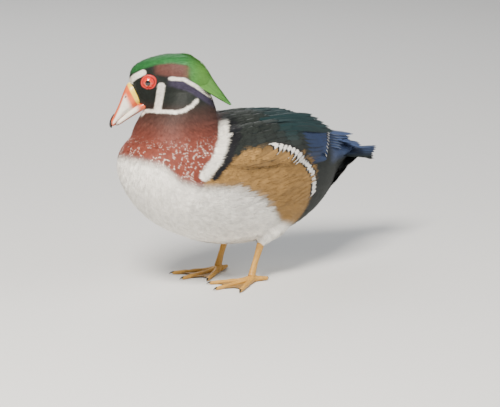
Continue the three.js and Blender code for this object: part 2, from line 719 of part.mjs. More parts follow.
// Each wing gives room to the torso with its long feathers and to the neck, and the tail to all three.
const plumageCut = joined(torsoCut, torsoVanes, GAP);
const tailWhole = joined(solid(formGeometry(tailCore)), [...tailVanes(), ...tailCoverts()]);
let tailSolid = tailWhole.subtract(plumageCut);
[['wing_left', -1], ['wing_right', 1]].forEach(([name, side]) => {
  const core = solid(wingCore(side));
  const vanes = wingVanes(side);
  addNode(bird, name, 'wing', largest(joined(core, vanes).subtract(plumageCut).subtract(neckCut)));
  tailSolid = tailSolid.subtract(joined(core, vanes, GAP));
});
addNode(bird, 'tail', 'tail', largest(tailSolid));

// The origin is the middle of the box, on the floor.
duck.updateMatrixWorld(true);
const box = new THREE.Box3().setFromObject(duck, true);
bird.position.set(-(box.min.x + box.max.x) / 2, -(box.min.y + box.max.y) / 2, 0);

export default duck;
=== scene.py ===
import math

import bmesh
import bpy
import numpy as np
from mathutils import Matrix, Vector
from mathutils.bvhtree import BVHTree


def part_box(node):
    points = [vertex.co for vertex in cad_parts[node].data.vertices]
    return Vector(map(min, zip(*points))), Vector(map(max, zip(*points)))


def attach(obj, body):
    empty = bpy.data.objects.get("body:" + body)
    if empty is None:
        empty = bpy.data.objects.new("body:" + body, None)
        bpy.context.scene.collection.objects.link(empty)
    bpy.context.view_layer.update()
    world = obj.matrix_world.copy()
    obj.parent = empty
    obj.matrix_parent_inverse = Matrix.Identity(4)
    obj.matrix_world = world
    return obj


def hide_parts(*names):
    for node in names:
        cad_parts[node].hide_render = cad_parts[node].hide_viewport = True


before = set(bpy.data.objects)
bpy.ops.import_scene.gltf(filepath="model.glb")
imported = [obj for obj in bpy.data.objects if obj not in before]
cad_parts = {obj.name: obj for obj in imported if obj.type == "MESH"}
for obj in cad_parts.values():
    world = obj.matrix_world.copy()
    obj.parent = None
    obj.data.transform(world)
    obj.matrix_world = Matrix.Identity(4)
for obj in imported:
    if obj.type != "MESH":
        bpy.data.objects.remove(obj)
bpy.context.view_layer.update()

# Flesh under the feathers: torso, neck, head, thighs, folded wings and the root of the tail.
# They are lofted one by one in the bird's own millimetres, with its bill to -X, then fused into one
# smooth skin that lies inside the solids by the depth of the coat.
BREAST_TIP = -122.0
MM = 0.001
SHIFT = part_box("torso")[0].x - BREAST_TIP * MM
BIRD_PLACE = Matrix.Translation((SHIFT, 0, 0)) @ Matrix.Scale(MM, 4)
COAT_DEPTH = 2.2
SKIN_VOXEL = 0.0018


def to_frame(points):
    """Points of the bird's own millimetres in the frame's metres."""
    return np.asarray(points, float) * MM + np.array([SHIFT, 0.0, 0.0])


def in_scene(name, data):
    """A new object of the scene that shows a mesh, a lamp or a camera."""
    made = bpy.data.objects.new(name, data)
    bpy.context.scene.collection.objects.link(made)
    return made


def spline_rows(rows, count):
    """Rows drawn through a smooth curve, so that a body has rings evenly between its ends."""
    rows = np.array(rows, float)
    padded = np.vstack([2 * rows[0] - rows[1], rows, 2 * rows[-1] - rows[-2]])
    spots = np.linspace(0, len(rows) - 1, count)
    made = []
    for spot in spots:
        k = min(int(spot), len(rows) - 2)
        t = spot - k
        a, b, c, d = padded[k:k + 4]
        made.append(b + 0.5 * t * (c - a + t * (2 * a - 5 * b + 4 * c - d + t * (3 * (b - c) + d - a))))
    return np.array(made)


def loft(bm, rows, rings, sides, side=(0, 1, 0), up=None, fullness=2.0, shrink=0.0):
    """A closed body through rings. A row is a centre (x, y, z), a half width, and reaches above and below."""
    side = Vector(side)
    drawn = spline_rows(rows, rings)
    loops = []
    for k, row in enumerate(drawn):
        centre = Vector(row[:3])
        ahead = Vector(drawn[min(k + 1, rings - 1)][:3]) - Vector(drawn[max(k - 1, 0)][:3])
        above = Vector(up) if up else ahead.cross(side).normalized()
        wide, high, low = (max(value - shrink, 0.12) for value in row[3:6])
        ring = bmesh.ops.create_circle(bm, segments=sides, radius=1.0)["verts"]
        for vertex in ring:
            across, along = vertex.co.x, vertex.co.y
            across = math.copysign(abs(across) ** (2 / fullness), across)
            along = math.copysign(abs(along) ** (2 / fullness), along)
            reach = high if along > 0 else low
            vertex.co = centre + side * across * wide + above * along * reach
        loops.append(ring)
    for first, second in zip(loops, loops[1:]):
        near = set(first) | set(second)
        edges = {e for v in first + second for e in v.link_edges if e.is_boundary or e.is_wire}
        edges = [e for e in edges if e.verts[0] in near and e.verts[1] in near]
        bmesh.ops.bridge_loops(bm, edges=edges)
    for ring in (loops[0], loops[-1]):
        bmesh.ops.contextual_create(bm, geom=ring)
    return [v for ring in loops for v in ring]


TORSO_ROWS = [
    (-122, 0, 121, 0, 0, 0), (-117, 0, 119.5, 24, 19, 21), (-103, 0, 114, 37, 34, 36),
    (-82, 0, 108, 47, 46, 49), (-54, 0, 102, 52, 54, 57), (-20, 0, 98, 53, 59, 64),
    (18, 0, 96, 53, 59, 66), (52, 0, 96, 50, 55, 62), (80, 0, 97, 42, 48, 56),
    (106, 0, 98, 30, 35, 46), (128, 0, 99, 16, 19, 31), (140, 0, 100, 0, 0, 0),
]
NECK_ROWS = [
    (-66, 0, 100, 30, 30, 30), (-68, 0, 116, 42, 42, 44), (-70, 0, 134, 41, 41, 46),
    (-70, -1, 149, 37, 36, 44), (-68, -3, 162, 30.5, 30, 40), (-67, -5, 174, 24.5, 24, 34),
    (-67, -6, 185, 18, 17, 25), (-68, -6, 192, 6, 6, 6),
]
HEAD_ROWS = [
    (-20.5, 0, -6.5, 0, 0, 0), (-17.5, 0, -6.5, 8.5, 12.5, 12.5), (-11, 0, -6.2, 12, 22.6, 20),
    (0, 0, -7, 15.2, 26, 23), (12, 0, -9, 18.5, 26.8, 22.5), (26, 0, -11, 19, 25.2, 21),
    (38, 0, -14, 15.5, 19.5, 17), (47, 0, -17, 8.5, 11.5, 10), (51, 0, -18, 0, 0, 0),
]
CREST_ROWS = [
    (16, 0, 2, 0, 0, 0), (26, 0, 2, 14, 10.5, 10), (36, 0, -0.5, 13, 8.3, 12),
    (43, 0, -9, 10, 5, 9), (47, 0, -21, 6, 2.4, 5), (49.5, 0, -33, 3, 1.4, 2.5),
    (52, 0, -43, 0, 0, 0),
]
TAIL_ROWS = [
    (112, 0, 98, 10, 10, 10), (116, 0, 98, 22, 25, 36), (128, 0, 98, 17.5, 20, 29),
    (140, 0, 99, 14, 12.5, 17), (152, 0, 99, 11, 6.5, 8), (162, 0, 99, 6, 2.5, 3),
    (166, 0, 99, 0, 0, 0),
]
HEAD_PLACE = Matrix.Translation((-85, 14.5, 193.5)) @ (
    Matrix.Rotation(math.radians(-45), 4, "Z") @ Matrix.Rotation(math.radians(-25), 4, "Y")
)
NECK_SIDE = Matrix.Rotation(math.radians(-22), 3, "Z") @ Vector((0, 1, 0))
FEET = {"left": (0.0, -30.0), "right": (8.0, 22.0)}
HOCK = 34.0
WING_ARM = [
    (-70, 38, 126, 1, 4), (-60, 38, 129, 5, 12), (-46, 39, 130, 8, 17), (-20, 40, 131, 9.5, 20),
    (10, 40, 130, 9.5, 21), (40, 38, 128, 9, 20), (62, 34, 125, 7.5, 18), (80, 28, 121, 4, 12),
    (90, 24, 119, 1, 4),
]

flesh = bmesh.new()
loft(flesh, TORSO_ROWS, 34, 40, up=(0, 0, 1), fullness=2.15, shrink=COAT_DEPTH)
loft(flesh, NECK_ROWS, 22, 36, side=NECK_SIDE, shrink=COAT_DEPTH)
loft(flesh, TAIL_ROWS, 16, 28, up=(0, 0, 1), shrink=2.6)
head_bones = loft(flesh, HEAD_ROWS, 26, 36, up=(0, 0, 1), fullness=2.2, shrink=1.1)
head_bones += loft(flesh, CREST_ROWS, 20, 24, shrink=1.4)
bmesh.ops.transform(flesh, matrix=HEAD_PLACE, verts=head_bones)
for x, y in FEET.values():
    loft(flesh, [
        (x + 44, y * 0.85, 66, 2, 2, 2), (x + 38, y * 0.9, 59, 15, 15, 15),
        (x + 27, y * 0.97, 49, 14, 13, 13), (x + 17, y, 41, 8.5, 8, 8),
        (x + 11.5, y, HOCK, 4.2, 4.2, 4.2), (x + 10, y, HOCK - 2.5, 2, 2, 2),
    ], 14, 20, shrink=1.3)
for hand in (-1, 1):
    out = Vector((0, 0.75 * hand, 0.66))
    rows = [(x, hand * wide, high, thick, span, span) for x, wide, high, thick, span in WING_ARM]
    loft(flesh, rows, 22, 24, side=out, up=out.cross((1, 0, 0)))
bmesh.ops.recalc_face_normals(flesh, faces=flesh.faces)
bmesh.ops.transform(flesh, matrix=BIRD_PLACE, verts=flesh.verts)
flesh_mesh = bpy.data.meshes.new("flesh")
flesh.to_mesh(flesh_mesh)
flesh.free()
skin = in_scene("skin", flesh_mesh)
fuse = skin.modifiers.new("fuse", "REMESH")
fuse.mode = "VOXEL"
fuse.voxel_size = SKIN_VOXEL
soften = skin.modifiers.new("soften", "SMOOTH")
soften.factor = 0.5
soften.iterations = 8
skin.data = bpy.data.meshes.new_from_object(skin.evaluated_get(bpy.context.evaluated_depsgraph_get()))
skin.modifiers.clear()
skin.data.name = "skin"
skin.data.shade_smooth()

skin_tree = BVHTree.FromPolygons(
    [v.co for v in skin.data.vertices], [tuple(p.vertices) for p in skin.data.polygons]
)

# The skin's own unwrap, on which every feather later finds the spot of its root.
bpy.context.view_layer.objects.active = skin
skin.select_set(True)
bpy.ops.object.mode_set(mode="EDIT")
bpy.ops.mesh.select_all(action="SELECT")
bpy.ops.uv.smart_project(angle_limit=math.radians(60), island_margin=0.004)
bpy.ops.object.mode_set(mode="OBJECT")
skin.data.uv_layers.active.name = "OFBake"
face_spot = np.zeros(len(skin.data.loops) * 2)
skin.data.uv_layers["OFBake"].data.foreach_get("uv", face_spot)
face_spot = face_spot.reshape(-1, 2)
face_start = np.array([p.loop_start for p in skin.data.polygons])

# Markings of the drake: green and maroon crown, dark cheek with white lines, flecked chestnut breast,
# white belly, white and black bar before the wing, tan flank, dark back and blue-glossed rump. They
# are worked out from a place on the bird, so that skin and feathers agree.
HEAD_AXES = np.array(HEAD_PLACE.to_3x3())
HEAD_CENTRE = np.array(HEAD_PLACE.translation)
CHIN_LINE = [(-8.1, -28.4), (7, -29.2), (23.7, -30.4), (31.7, -28.4), (38.1, -24.5), (42.5, -19.3)]
CHEEK_SPUR = [(11, -6.9), (7.3, -27.9)]
CREST_LINE = [(18.9, 0.1), (30.9, -0.7), (42, -6.9), (55.6, -16.4), (68.4, -24.8), (74, -28.6)]
BROW_LINE = [(-18.5, -2.5), (-12.8, 2), (-5.2, 5.7)]
FACE_LINES = (
    (CHIN_LINE, 1.1, 2.1), (CHEEK_SPUR, 2.8, 3.9), (CREST_LINE, 1.1, 2.1), (BROW_LINE, 2.0, 3.2),
)
SIDE_BAR = [(-5.1, 142.3), (-4, 124.4), (-9.6, 106.5), (-20.8, 92.1)]
WHITE_EDGE = ([-122, -110, -98, -80, -38, 0, 27, 60, 110, 150], [128, 124, 110, 103, 98, 80, 54, 43, 60, 84])


def ramp(value, low, high):
    """0 below low, 1 above high, and smooth between them."""
    t = np.clip((value - low) / (high - low), 0, 1)
    return t * t * (3 - 2 * t)


def line_distance(points, line):
    """How far each point is from a line through the given corners."""
    best = np.full(len(points), 1e9)
    for first, second in zip(line, line[1:]):
        first, second = np.array(first, float), np.array(second, float)
        along = second - first
        t = np.clip((points - first) @ along / (along @ along), 0, 1)
        best = np.minimum(best, np.linalg.norm(points - first - t[:, None] * along, axis=1))
    return best


def to_bird(points):
    return (np.asarray(points) - np.array([SHIFT, 0, 0])) / MM


def to_head(bird):
    return (bird - HEAD_CENTRE) @ HEAD_AXES


def markings(points, crest=False):
    """The share of each marking at points of the frame, as four attributes of three shares.

    Numbers are millimetres on the bird. The two of a ramp say where a colour starts and where it is full.
    """
    bird = to_bird(points)
    x, y, z = bird.T
    head = to_head(bird)
    on_head = np.ones(len(bird)) if crest else ramp(z, 148, 156) * ramp(-x, 22, 30)
    # The face as its side shows it: u runs back and v up, and both sides are alike.
    u = 0.906 * head[:, 0] - 0.4226 * head[:, 2]
    v = 0.4133 * head[:, 0] + 0.886 * head[:, 2] - 0.208 * np.abs(head[:, 1])
    face = np.column_stack([u, v])
    white = np.max([1 - ramp(line_distance(face, line), low, high) for line, low, high in FACE_LINES], axis=0)
    chin_height = np.interp(u, [p[0] for p in CHIN_LINE[:4]], [p[1] for p in CHIN_LINE[:4]])
    throat = ramp(chin_height - v, -1, 1) * (1 - ramp(np.abs(head[:, 1]), 9, 12)) * ramp(z, 160, 163)
    white = np.maximum(white, throat * (1 - ramp(head[:, 0], 12, 17))) * on_head
    crown_edge = np.interp(u, [-22, -12, -4, 6, 20, 34, 46, 60], [3, 6.5, 9.5, 12.5, 14, 12, 2, -16])
    patch = ramp(v - np.interp(u, [0, 10, 20, 34, 50, 70], [5, 3, 1, 0, -12, -27]), -1.5, 2)
    green = np.maximum(ramp(v - crown_edge, -1.5, 1.5), patch * ramp(u, 33, 40)) * on_head
    maroon = patch * ramp(u, 2, 9) * (1 - ramp(u, 32, 42)) * (1 - green) * on_head
    lime = 0.5 * ramp(u, 28, 50) * (1 - 0.8 * ramp(u, 54, 78)) * on_head
    lime = lime * ramp(v - np.interp(u, [20, 34, 44, 56, 70, 80], [1, 0, -7, -17, -27, -31]), -1, 2)
    purple_edge = np.interp(u, [20, 34, 44, 60], [-7, -11, -17, -27])
    purple = (1 - patch) * (1 - green) * ramp(v - purple_edge, -1.5, 1.5)
    purple = purple * ramp(u, 14, 22) * on_head * (1 - ramp(u, 50, 66))
    flank = np.column_stack([(x + np.abs(y)) / math.sqrt(2), 0.978 * z + 0.147 * (x - np.abs(y))])
    bar = line_distance(flank, SIDE_BAR)
    behind = line_distance(flank - np.array([8.5, 0]), SIDE_BAR)
    ahead_of_bar = np.interp(flank[:, 1], [92.1, 106.5, 124.4, 142.3], [-20.8, -9.6, -4, -5.1]) - flank[:, 0]
    body = 1 - on_head
    fore_side = body * ramp(-x, -40, -20) * ramp(np.abs(y), 14, 22)
    side_white = (1 - ramp(bar, 4.0, 5.4)) * fore_side
    side_black = (1 - ramp(behind, 3.6, 5.0)) * fore_side * (1 - side_white)
    edge = np.interp(x, *WHITE_EDGE)
    belly = (1 - ramp(z, edge - 7, edge + 5)) * body
    breast = ramp(ahead_of_bar, -1, 3) * ramp(172 - z, -6, 10) * ramp(-x, 8, 20)
    chestnut = breast * (1 - belly) * (1 - ramp(z, 134, 166) * 0.8)
    fleck = breast * ramp(150 - z, 0, 20) * (1 - belly)
    flank_top = np.interp(x, [-60, -30, 10, 47, 75, 90], [118, 131, 130, 116, 96, 80])
    flank_end = ramp(x + (100 - z) * 0.25, 66, 74)
    tan = ramp(flank_top - z, -3, 3) * (1 - belly) * (1 - breast) * (1 - flank_end) * body
    blue = ramp(x, 96, 122) * ramp(z, 92, 100) * body
    teal = ramp(x, 10, 46) * (1 - ramp(x, 88, 104)) * ramp(z, 128, 138) * body
    return (
        np.column_stack([np.maximum(white, side_white), chestnut, tan]),
        np.column_stack([green, maroon, blue]),
        np.column_stack([side_black, fleck, belly]),
        np.column_stack([teal, purple, lime]),
    )


MARKS = ("Face", "Gloss", "Under", "Sheen")


def store(mesh, name, values):
    """Keeps one number, or a row of three, for each vertex of the mesh."""
    values = np.asarray(values, np.float32)
    kind, field = ("FLOAT", "value") if values.ndim == 1 else ("FLOAT_VECTOR", "vector")
    mesh.attributes.new(name, kind, "POINT").data.foreach_set(field, values.ravel())


def paint(mesh, points, crest=False):
    """Stores the markings of the given points, one for each vertex of the mesh."""
    for label, values in zip(MARKS, markings(points, crest)):
        store(mesh, f"marks_{label.lower()}", values)


skin_points = np.zeros(len(skin.data.vertices) * 3)
skin.data.vertices.foreach_get("co", skin_points)
skin_points = skin_points.reshape(-1, 3)
paint(skin.data, skin_points)


# Small body feathers. Each is a fan of fine strands that is rooted in the skin and lies back over
# the next ones like a shingle. They are shortest on the face and longest behind the breast.
def surface_samples(count, seed):
    """Places drawn evenly over the skin."""
    draw = np.random.default_rng(seed)
    mesh = skin.data
    area = np.array([p.area for p in mesh.polygons])
    chosen = draw.choice(len(area), size=count, p=area / area.sum())
    corners = np.array([p.vertices[:] for p in mesh.polygons])
    quad = skin_points[corners[chosen]]
    s, t = draw.random((2, count, 1))
    return (quad[:, 0] * (1 - s) + quad[:, 1] * s) * (1 - t) + (quad[:, 3] * (1 - s) + quad[:, 2] * s) * t


def thinned(points, spacing):
    """Keeps one point in each cell as wide as the spacing there, which is rounded to a few sizes."""
    sizes = 2.0 ** (np.round(np.log2(spacing) * 5) / 5)
    cells = np.floor(points / sizes[:, None])
    keys = np.column_stack([cells, np.round(np.log2(sizes) * 5)])
    return np.sort(np.unique(keys, axis=0, return_index=True)[1])


def on_skin(points):
    """The nearest place on the skin to each point, with the normal and the face there."""
    spots, normals, faces = [], [], []
    for point in points:
        spot, normal, face, _ = skin_tree.find_nearest(point)
        spots.append(spot)
        normals.append(normal)
        faces.append(face)
    return np.array(spots), np.array(normals), np.array(faces)


def unit(vectors):
    return vectors / np.maximum(np.linalg.norm(vectors, axis=-1, keepdims=True), 1e-12)


def lie(points):
    """The way that feathers run at points of the frame, before it is laid flat on the skin."""
    bird = to_bird(points)
    x, y, z = bird.T
    head = to_head(bird)
    back = HEAD_AXES[:, 0]
    down = -HEAD_AXES[:, 2]
    droop = ramp(head[:, 0], 14, 46) * 1.3 + ramp(-head[:, 2], 12, 34) * 0.7
    on_head = back + droop[:, None] * down
    on_neck = np.column_stack([0.35 + ramp(x, -75, -45) * 0.4, y * 0.004, -np.ones(len(x))])
    front = ramp(-x, 70, 112)
    on_body = np.column_stack([np.ones(len(x)), y * 0.001, -0.12 - 1.6 * front])
    neck_share = ramp(z, 128, 158) * ramp(-x, 20, 44)
    head_share = ramp(z, 164, 180) * ramp(-x, 16, 30)
    thigh = ramp(-z, -52, -42)
    way = on_body * (1 - neck_share)[:, None] + on_neck * neck_share[:, None]
    way = way * (1 - head_share)[:, None] + on_head * head_share[:, None]
    return way * (1 - thigh)[:, None] + np.array([-0.45, 0, -1.0]) * thigh[:, None]


def root_spots(faces):
    return face_spot[face_start[faces]]


def march(points, lengths, steps):
    """Stations of feathers that run along the skin from their roots, with the skin's normal at each."""
    spot, normal, face = on_skin(points)
    root_face = face
    stations = [spot]
    normals = [normal]
    for _ in range(steps - 1):
        run = lie(spot)
        flat = unit(run - (run * normal).sum(1, keepdims=True) * normal)
        spot, normal, face = on_skin(spot + flat * (lengths / (steps - 1))[:, None])
        stations.append(spot)
        normals.append(normal)
    return np.stack(stations, 1), np.stack(normals, 1), root_face


def through(stations, shares):
    """Points at the given shares of a smooth curve through each feather's stations."""
    count = stations.shape[1]
    before = 2 * stations[:, :1] - stations[:, 1:2]
    after = 2 * stations[:, -1:] - stations[:, -2:-1]
    padded = np.concatenate([before, stations, after], 1)
    made = []
    for share in shares:
        spot = share * (count - 1)
        k = min(int(spot), count - 2)
        t = spot - k
        a, b, c, d = (padded[:, k + j] for j in range(4))
        made.append(b + 0.5 * t * (c - a + t * (2 * a - 5 * b + 4 * c - d + t * (3 * (b - c) + d - a))))
    return np.stack(made, 1)


ROOT_PATCH = 0.003


def shafts(stations, normals, shares):
    """The shafts at the given shares of their length, with the ways outward, ahead and across there."""
    spine = through(stations, shares)
    facing = unit(through(normals, shares))
    ahead = unit(np.gradient(spine, axis=1))
    return spine, facing, ahead, unit(np.cross(ahead, facing))


def lengths_of(stations):
    return np.linalg.norm(np.diff(stations, axis=1), axis=2).sum(1)[:, None, None]


def drawn_to_shaft(stations, points, share, hold):
    """Where each point takes its markings: between its own place and one place on its feather's shaft."""
    held = through(stations, (share,))
    own = points.reshape(len(stations), -1, 3)
    return (held * hold + own * (1 - hold)).reshape(-1, 3)


def vane_object(name, points, cell, spots, vane, chance, painted, crest=False):
    """A joined mesh of like pieces, each of the same grid of points, with its unwrap and its markings."""
    count, size = len(points), points.shape[1]
    quads = np.stack([cell[:-1, :-1], cell[:-1, 1:], cell[1:, 1:], cell[1:, :-1]], -1).reshape(-1, 4)
    faces = (quads[None] + (np.arange(count) * size)[:, None, None]).reshape(-1, 4)
    mesh = bpy.data.meshes.new(name)
    mesh.vertices.add(count * size)
    mesh.vertices.foreach_set("co", points.astype(np.float32).ravel())
    mesh.loops.add(faces.size)
    mesh.loops.foreach_set("vertex_index", faces.ravel())
    mesh.polygons.add(len(faces))
    mesh.polygons.foreach_set("loop_start", np.arange(len(faces)) * 4)
    mesh.polygons.foreach_set("loop_total", np.full(len(faces), 4))
    mesh.update()
    mesh.shade_smooth()
    spot = np.repeat(spots, size, 0) + (vane - 0.5) * ROOT_PATCH
    corner = faces.ravel()
    for label, values in (("OFBake", spot), ("Vane", vane)):
        mesh.uv_layers.new(name=label).data.foreach_set("uv", values[corner].astype(np.float32).ravel())
    store(mesh, "chance", np.repeat(chance, size))
    paint(mesh, painted, crest)
    return in_scene(name, mesh)


def tuft_mesh(name, stations, normals, width, spots, lift, seed, strands=5, rows=4, hold=0.4,
              gather=0.0, ragged=0.14):
    """Soft feathers. Each is a fan of narrow pointed strands from one root, cupped to the skin."""
    draw = np.random.default_rng(seed)
    count = len(stations)
    fan = np.linspace(-1, 1, strands)
    share = np.linspace(0, 1, rows)
    spine, facing, ahead, across = shafts(stations, normals, share)
    reach = 1 - 0.3 * fan[None, :] ** 2 + draw.uniform(-ragged, ragged, (count, strands))
    spread = (0.25 + 0.75 * np.sin(share * 1.9)) * (1 - gather * share ** 3)
    taper = np.interp(share, (0, 0.33, 0.7, 0.9, 1), (0.7, 1.0, 1.0, 0.7, 0.04))
    rise = -lift[0] + (lift[0] + lift[1] * draw.uniform(0.5, 1.5, count))[:, None] * share[None, :] ** 0.8
    half = (width / 2)[:, None, None]
    ray = fan[None, :, None]
    aside = half * ray * spread
    proud = rise[:, None, :] - 0.35 * half * ray ** 2
    further = (reach - 1)[:, :, None] * lengths_of(stations) * share
    centre = (
        spine[:, None] + across[:, None] * aside[..., None] + facing[:, None] * proud[..., None]
        + ahead[:, None] * further[..., None]
    )
    wide = half * 2.5 / strands * taper
    edge = across[:, None] * wide[..., None]
    points = np.stack([centre - edge * 0.5, centre + edge * 0.5], 3).reshape(count * strands, rows * 2, 3)
    beside = 0.5 + 0.45 * fan[:, None, None] + np.array([-0.45, 0.45]) / strands
    vane = np.stack(np.broadcast_arrays(beside, share[None, :, None]), -1)
    vane = np.tile(vane.reshape(-1, 2), (count, 1))
    chance = np.repeat(draw.random(count), strands)
    painted = drawn_to_shaft(stations, points, 0.75, hold)
    cell = np.arange(rows * 2).reshape(rows, 2)
    return vane_object(name, points, cell, np.repeat(spots, strands, 0), vane, chance, painted)


def sizes_at(points):
    """Length, width and spacing of the small feathers at points of the frame, in metres."""
    bird = to_bird(points)
    x, y, z = bird.T
    head = to_head(bird)
    far = np.linalg.norm(head * np.array([1, 1.2, 1]) - np.array([-17, 0, -3]), axis=1)
    face = ramp(far, 8, 56)
    on_back = ramp(z, 108, 128)
    size = np.column_stack([11 + 3 * ramp(x, -110, -10), 5.0 + 1.4 * on_back, 1.75 + 0.45 * ramp(x, 56, 66)])
    neck_share = (ramp(z, 128, 160) * ramp(-x, 22, 44))[:, None]
    size = size * (1 - neck_share) + np.array([7.5, 3.0, 1.3]) * neck_share
    head_share = (ramp(z, 158, 174) * ramp(-x, 18, 32))[:, None]
    on_face = np.column_stack([2.6 + 3.2 * face, 1.3 + 0.7 * face, 0.72 + 0.3 * face])
    size = size * (1 - head_share) + on_face * head_share
    size = np.where((z < 46)[:, None], np.array([6.5, 2.6, 1.15]), size)
    angle = np.degrees(np.arctan2(np.abs(y), z - 98))
    hidden = (x > -36) & (x < 70) & (angle < 104)
    return np.where(hidden[:, None], np.array([14, 7, 3.4]), size) * MM


def bare(points):
    """Where no feather roots: under the eyes' lids, where the bill leaves the face, and on the shanks."""
    head = to_head(to_bird(points))
    eye = np.hypot(head[:, 0], head[:, 2]) < 7.4
    beak = (head[:, 0] < -14) & (np.abs(head[:, 1]) < 8.5) & (head[:, 2] < 4.5) & (head[:, 2] > -22)
    low = to_bird(points)[:, 2] < 34.5
    return (eye & (np.abs(head[:, 1]) > 8)) | beak | low


COAT_SLOTS = {
    "coat_crown": "head_plumage", "coat_cheeks": "head_plumage", "coat_neck": "neck_plumage",
    "coat_breast": "body_plumage", "coat_front_belly": "body_plumage", "coat_rear_belly": "body_plumage",
    "coat_flanks": "body_plumage", "coat_back": "body_plumage", "coat_rump": "body_plumage",
}
COAT_TRIES = 420000
FIRST_COAT_SEED = 11
ROOT_DEPTH = 0.0003
HEAD_RISE = 0.0008
BODY_RISE = 0.0012
places = surface_samples(COAT_TRIES, 3)
places = places[~bare(places)]
kept = thinned(places, sizes_at(places)[:, 2])
places = places[kept]
reach, wide, _ = sizes_at(places).T
draw = np.random.default_rng(4)
reach = reach * draw.uniform(0.85, 1.15, len(reach))
stations, normals, root_face = march(places, reach, 3)
place_x, _, place_z = to_bird(places).T
above_eye = to_head(to_bird(places))[:, 2] > 2
on_head = (place_z > 160) & (place_x < -25)
before_rump = place_x < 62
zone = np.select([
    on_head & above_eye, on_head, (place_z > 130) & (place_x < -34), place_x < -66,
    (place_z < 84) & (place_x < 10), (place_z < 72) & before_rump, (place_z < 122) & before_rump, before_rump,
], range(8), 8)
# Each area of the coat is a piece of its own.
coats = {}
for k, (name, slot) in enumerate(COAT_SLOTS.items()):
    here = zone == k
    fine = slot == "head_plumage"
    coats[name] = tuft_mesh(
        name, stations[here], normals[here], wide[here], root_spots(root_face[here]),
        (ROOT_DEPTH, HEAD_RISE if fine else BODY_RISE), FIRST_COAT_SEED + k, strands=3 if fine else 5,
    )


# Long feathers of wings, back and flanks, each laid along a line over the skin. The coverts, tertials
# and secondaries of the folded wings and the scapulars above them have separate barbs. The flank
# feathers, which come up over the wing's lower edge, are broad and soft, of many fine strands.
OUTLINE_SHARES = (0.0, 0.1, 0.22, 0.36, 0.5, 0.64, 0.76, 0.86, 0.93, 0.975, 1.0)
OUTLINE_WIDTHS = (0.3, 0.5, 0.75, 0.93, 1.0, 0.98, 0.90, 0.74, 0.54, 0.32, 0.06)
BARB_CUP = 0.3
BARB_HOLD = 0.8
SHINGLE_TILT = 0.17
SOFT_RISE = 0.0005
TABLE_STEPS = 60


def on_body(x, degrees, out, side):
    """Places at a height over the skin, by the distance along the body and the angle from the back."""
    x, degrees, out, side = np.broadcast_arrays(x, degrees, out, side)
    spots = []
    normals = []
    for along, turn, high, hand in zip(x.ravel(), np.radians(degrees).ravel(), out.ravel(), side.ravel()):
        way = Vector((0, hand * math.sin(turn), math.cos(turn)))
        spot, normal, _, _ = skin_tree.ray_cast(Vector(to_frame((along, 0, 98))), way)
        spots.append(spot + normal * high * MM)
        normals.append(normal)
    return np.array(spots).reshape(*x.shape, 3), np.array(normals).reshape(*x.shape, 3)


def barbed_mesh(name, stations, normals, width, spots, barbs, seed, cup=BARB_CUP, tilt=None):
    """Long feathers. Barbs run forward and out from each shaft, one lapping the next, to a worn edge."""
    draw = np.random.default_rng(seed)
    count = len(stations)
    table = np.linspace(0, 1, TABLE_STEPS + 1)
    spine, facing, ahead, across = shafts(stations, normals, table)
    if tilt is not None:
        across = unit(across + facing * np.broadcast_to(tilt, count)[:, None, None])
        facing = unit(np.cross(across, ahead))
    length = lengths_of(stations)
    half = (width / 2)[:, None, None]
    root = np.broadcast_to(np.linspace(0.0, 0.965, barbs), (count, 2, barbs))
    bunch = np.repeat(draw.uniform(-1, 1, (count, 2, barbs // 4 + 1)), 4, 2)[:, :, :barbs]
    worn = draw.uniform(-0.4, 0.4, (count, 2, barbs)) + bunch
    reach = np.minimum(0.9 * half / length, 0.35) * (1 - 0.25 * root)
    end = np.minimum(root + reach + 0.45 * worn / barbs, 1.0)
    outline = np.interp(end, OUTLINE_SHARES, OUTLINE_WIDTHS) * (1 + 0.03 * worn)
    part = np.array([0.0, 0.4, 1.0])
    share = root[..., None] + (end - root)[..., None] * part ** 1.35
    lateral = half[..., None] * outline[..., None] * part ** 0.85 * np.array([-1, 1])[None, :, None, None]
    place = np.clip(share, 0, 1) * TABLE_STEPS
    low = np.minimum(place.astype(int), TABLE_STEPS - 1)
    rest = (place - low)[..., None]
    row = np.arange(count)[:, None, None, None]
    spine, facing, ahead, across = (
        line[row, low] * (1 - rest) + line[row, low + 1] * rest for line in (spine, facing, ahead, across)
    )
    centre = spine + across * lateral[..., None] - facing * (cup * lateral ** 2 / half[..., None])[..., None]
    step = (length / barbs)[..., None] * np.array([0.62, 0.68, 0.3])
    lean = ahead * step[..., None] + facing * 0.00004
    points = np.stack([centre - lean, centre + lean], 4).reshape(count * 2 * barbs, 6, 3)
    u = 0.5 + 0.5 * lateral / half[..., None]
    vane = np.stack([np.stack([u, share], -1)] * 2, 4).reshape(-1, 2)
    painted = drawn_to_shaft(stations, points, 0.6, BARB_HOLD)
    chance = np.repeat(draw.random(count), 2 * barbs)
    cell = np.arange(6).reshape(3, 2)
    return vane_object(name, points, cell, np.repeat(spots, 2 * barbs, 0), vane, chance, painted)


def both_sides(tracks, width, seed, spread):
    """Stations, normals, widths, root spots and sides of feathers that are alike on left and right."""
    tracks = np.array(tracks, float)
    both = np.concatenate([tracks, tracks])
    hands = np.repeat([-1.0, 1.0], len(tracks))
    spots, normals = on_body(both[..., 0], both[..., 1], both[..., 2], hands[:, None])
    wide = width * np.random.default_rng(seed).uniform(1 - spread, 1 + spread, len(both)) * MM
    return spots, normals, wide, root_spots(on_skin(spots[:, 0])[2]), hands


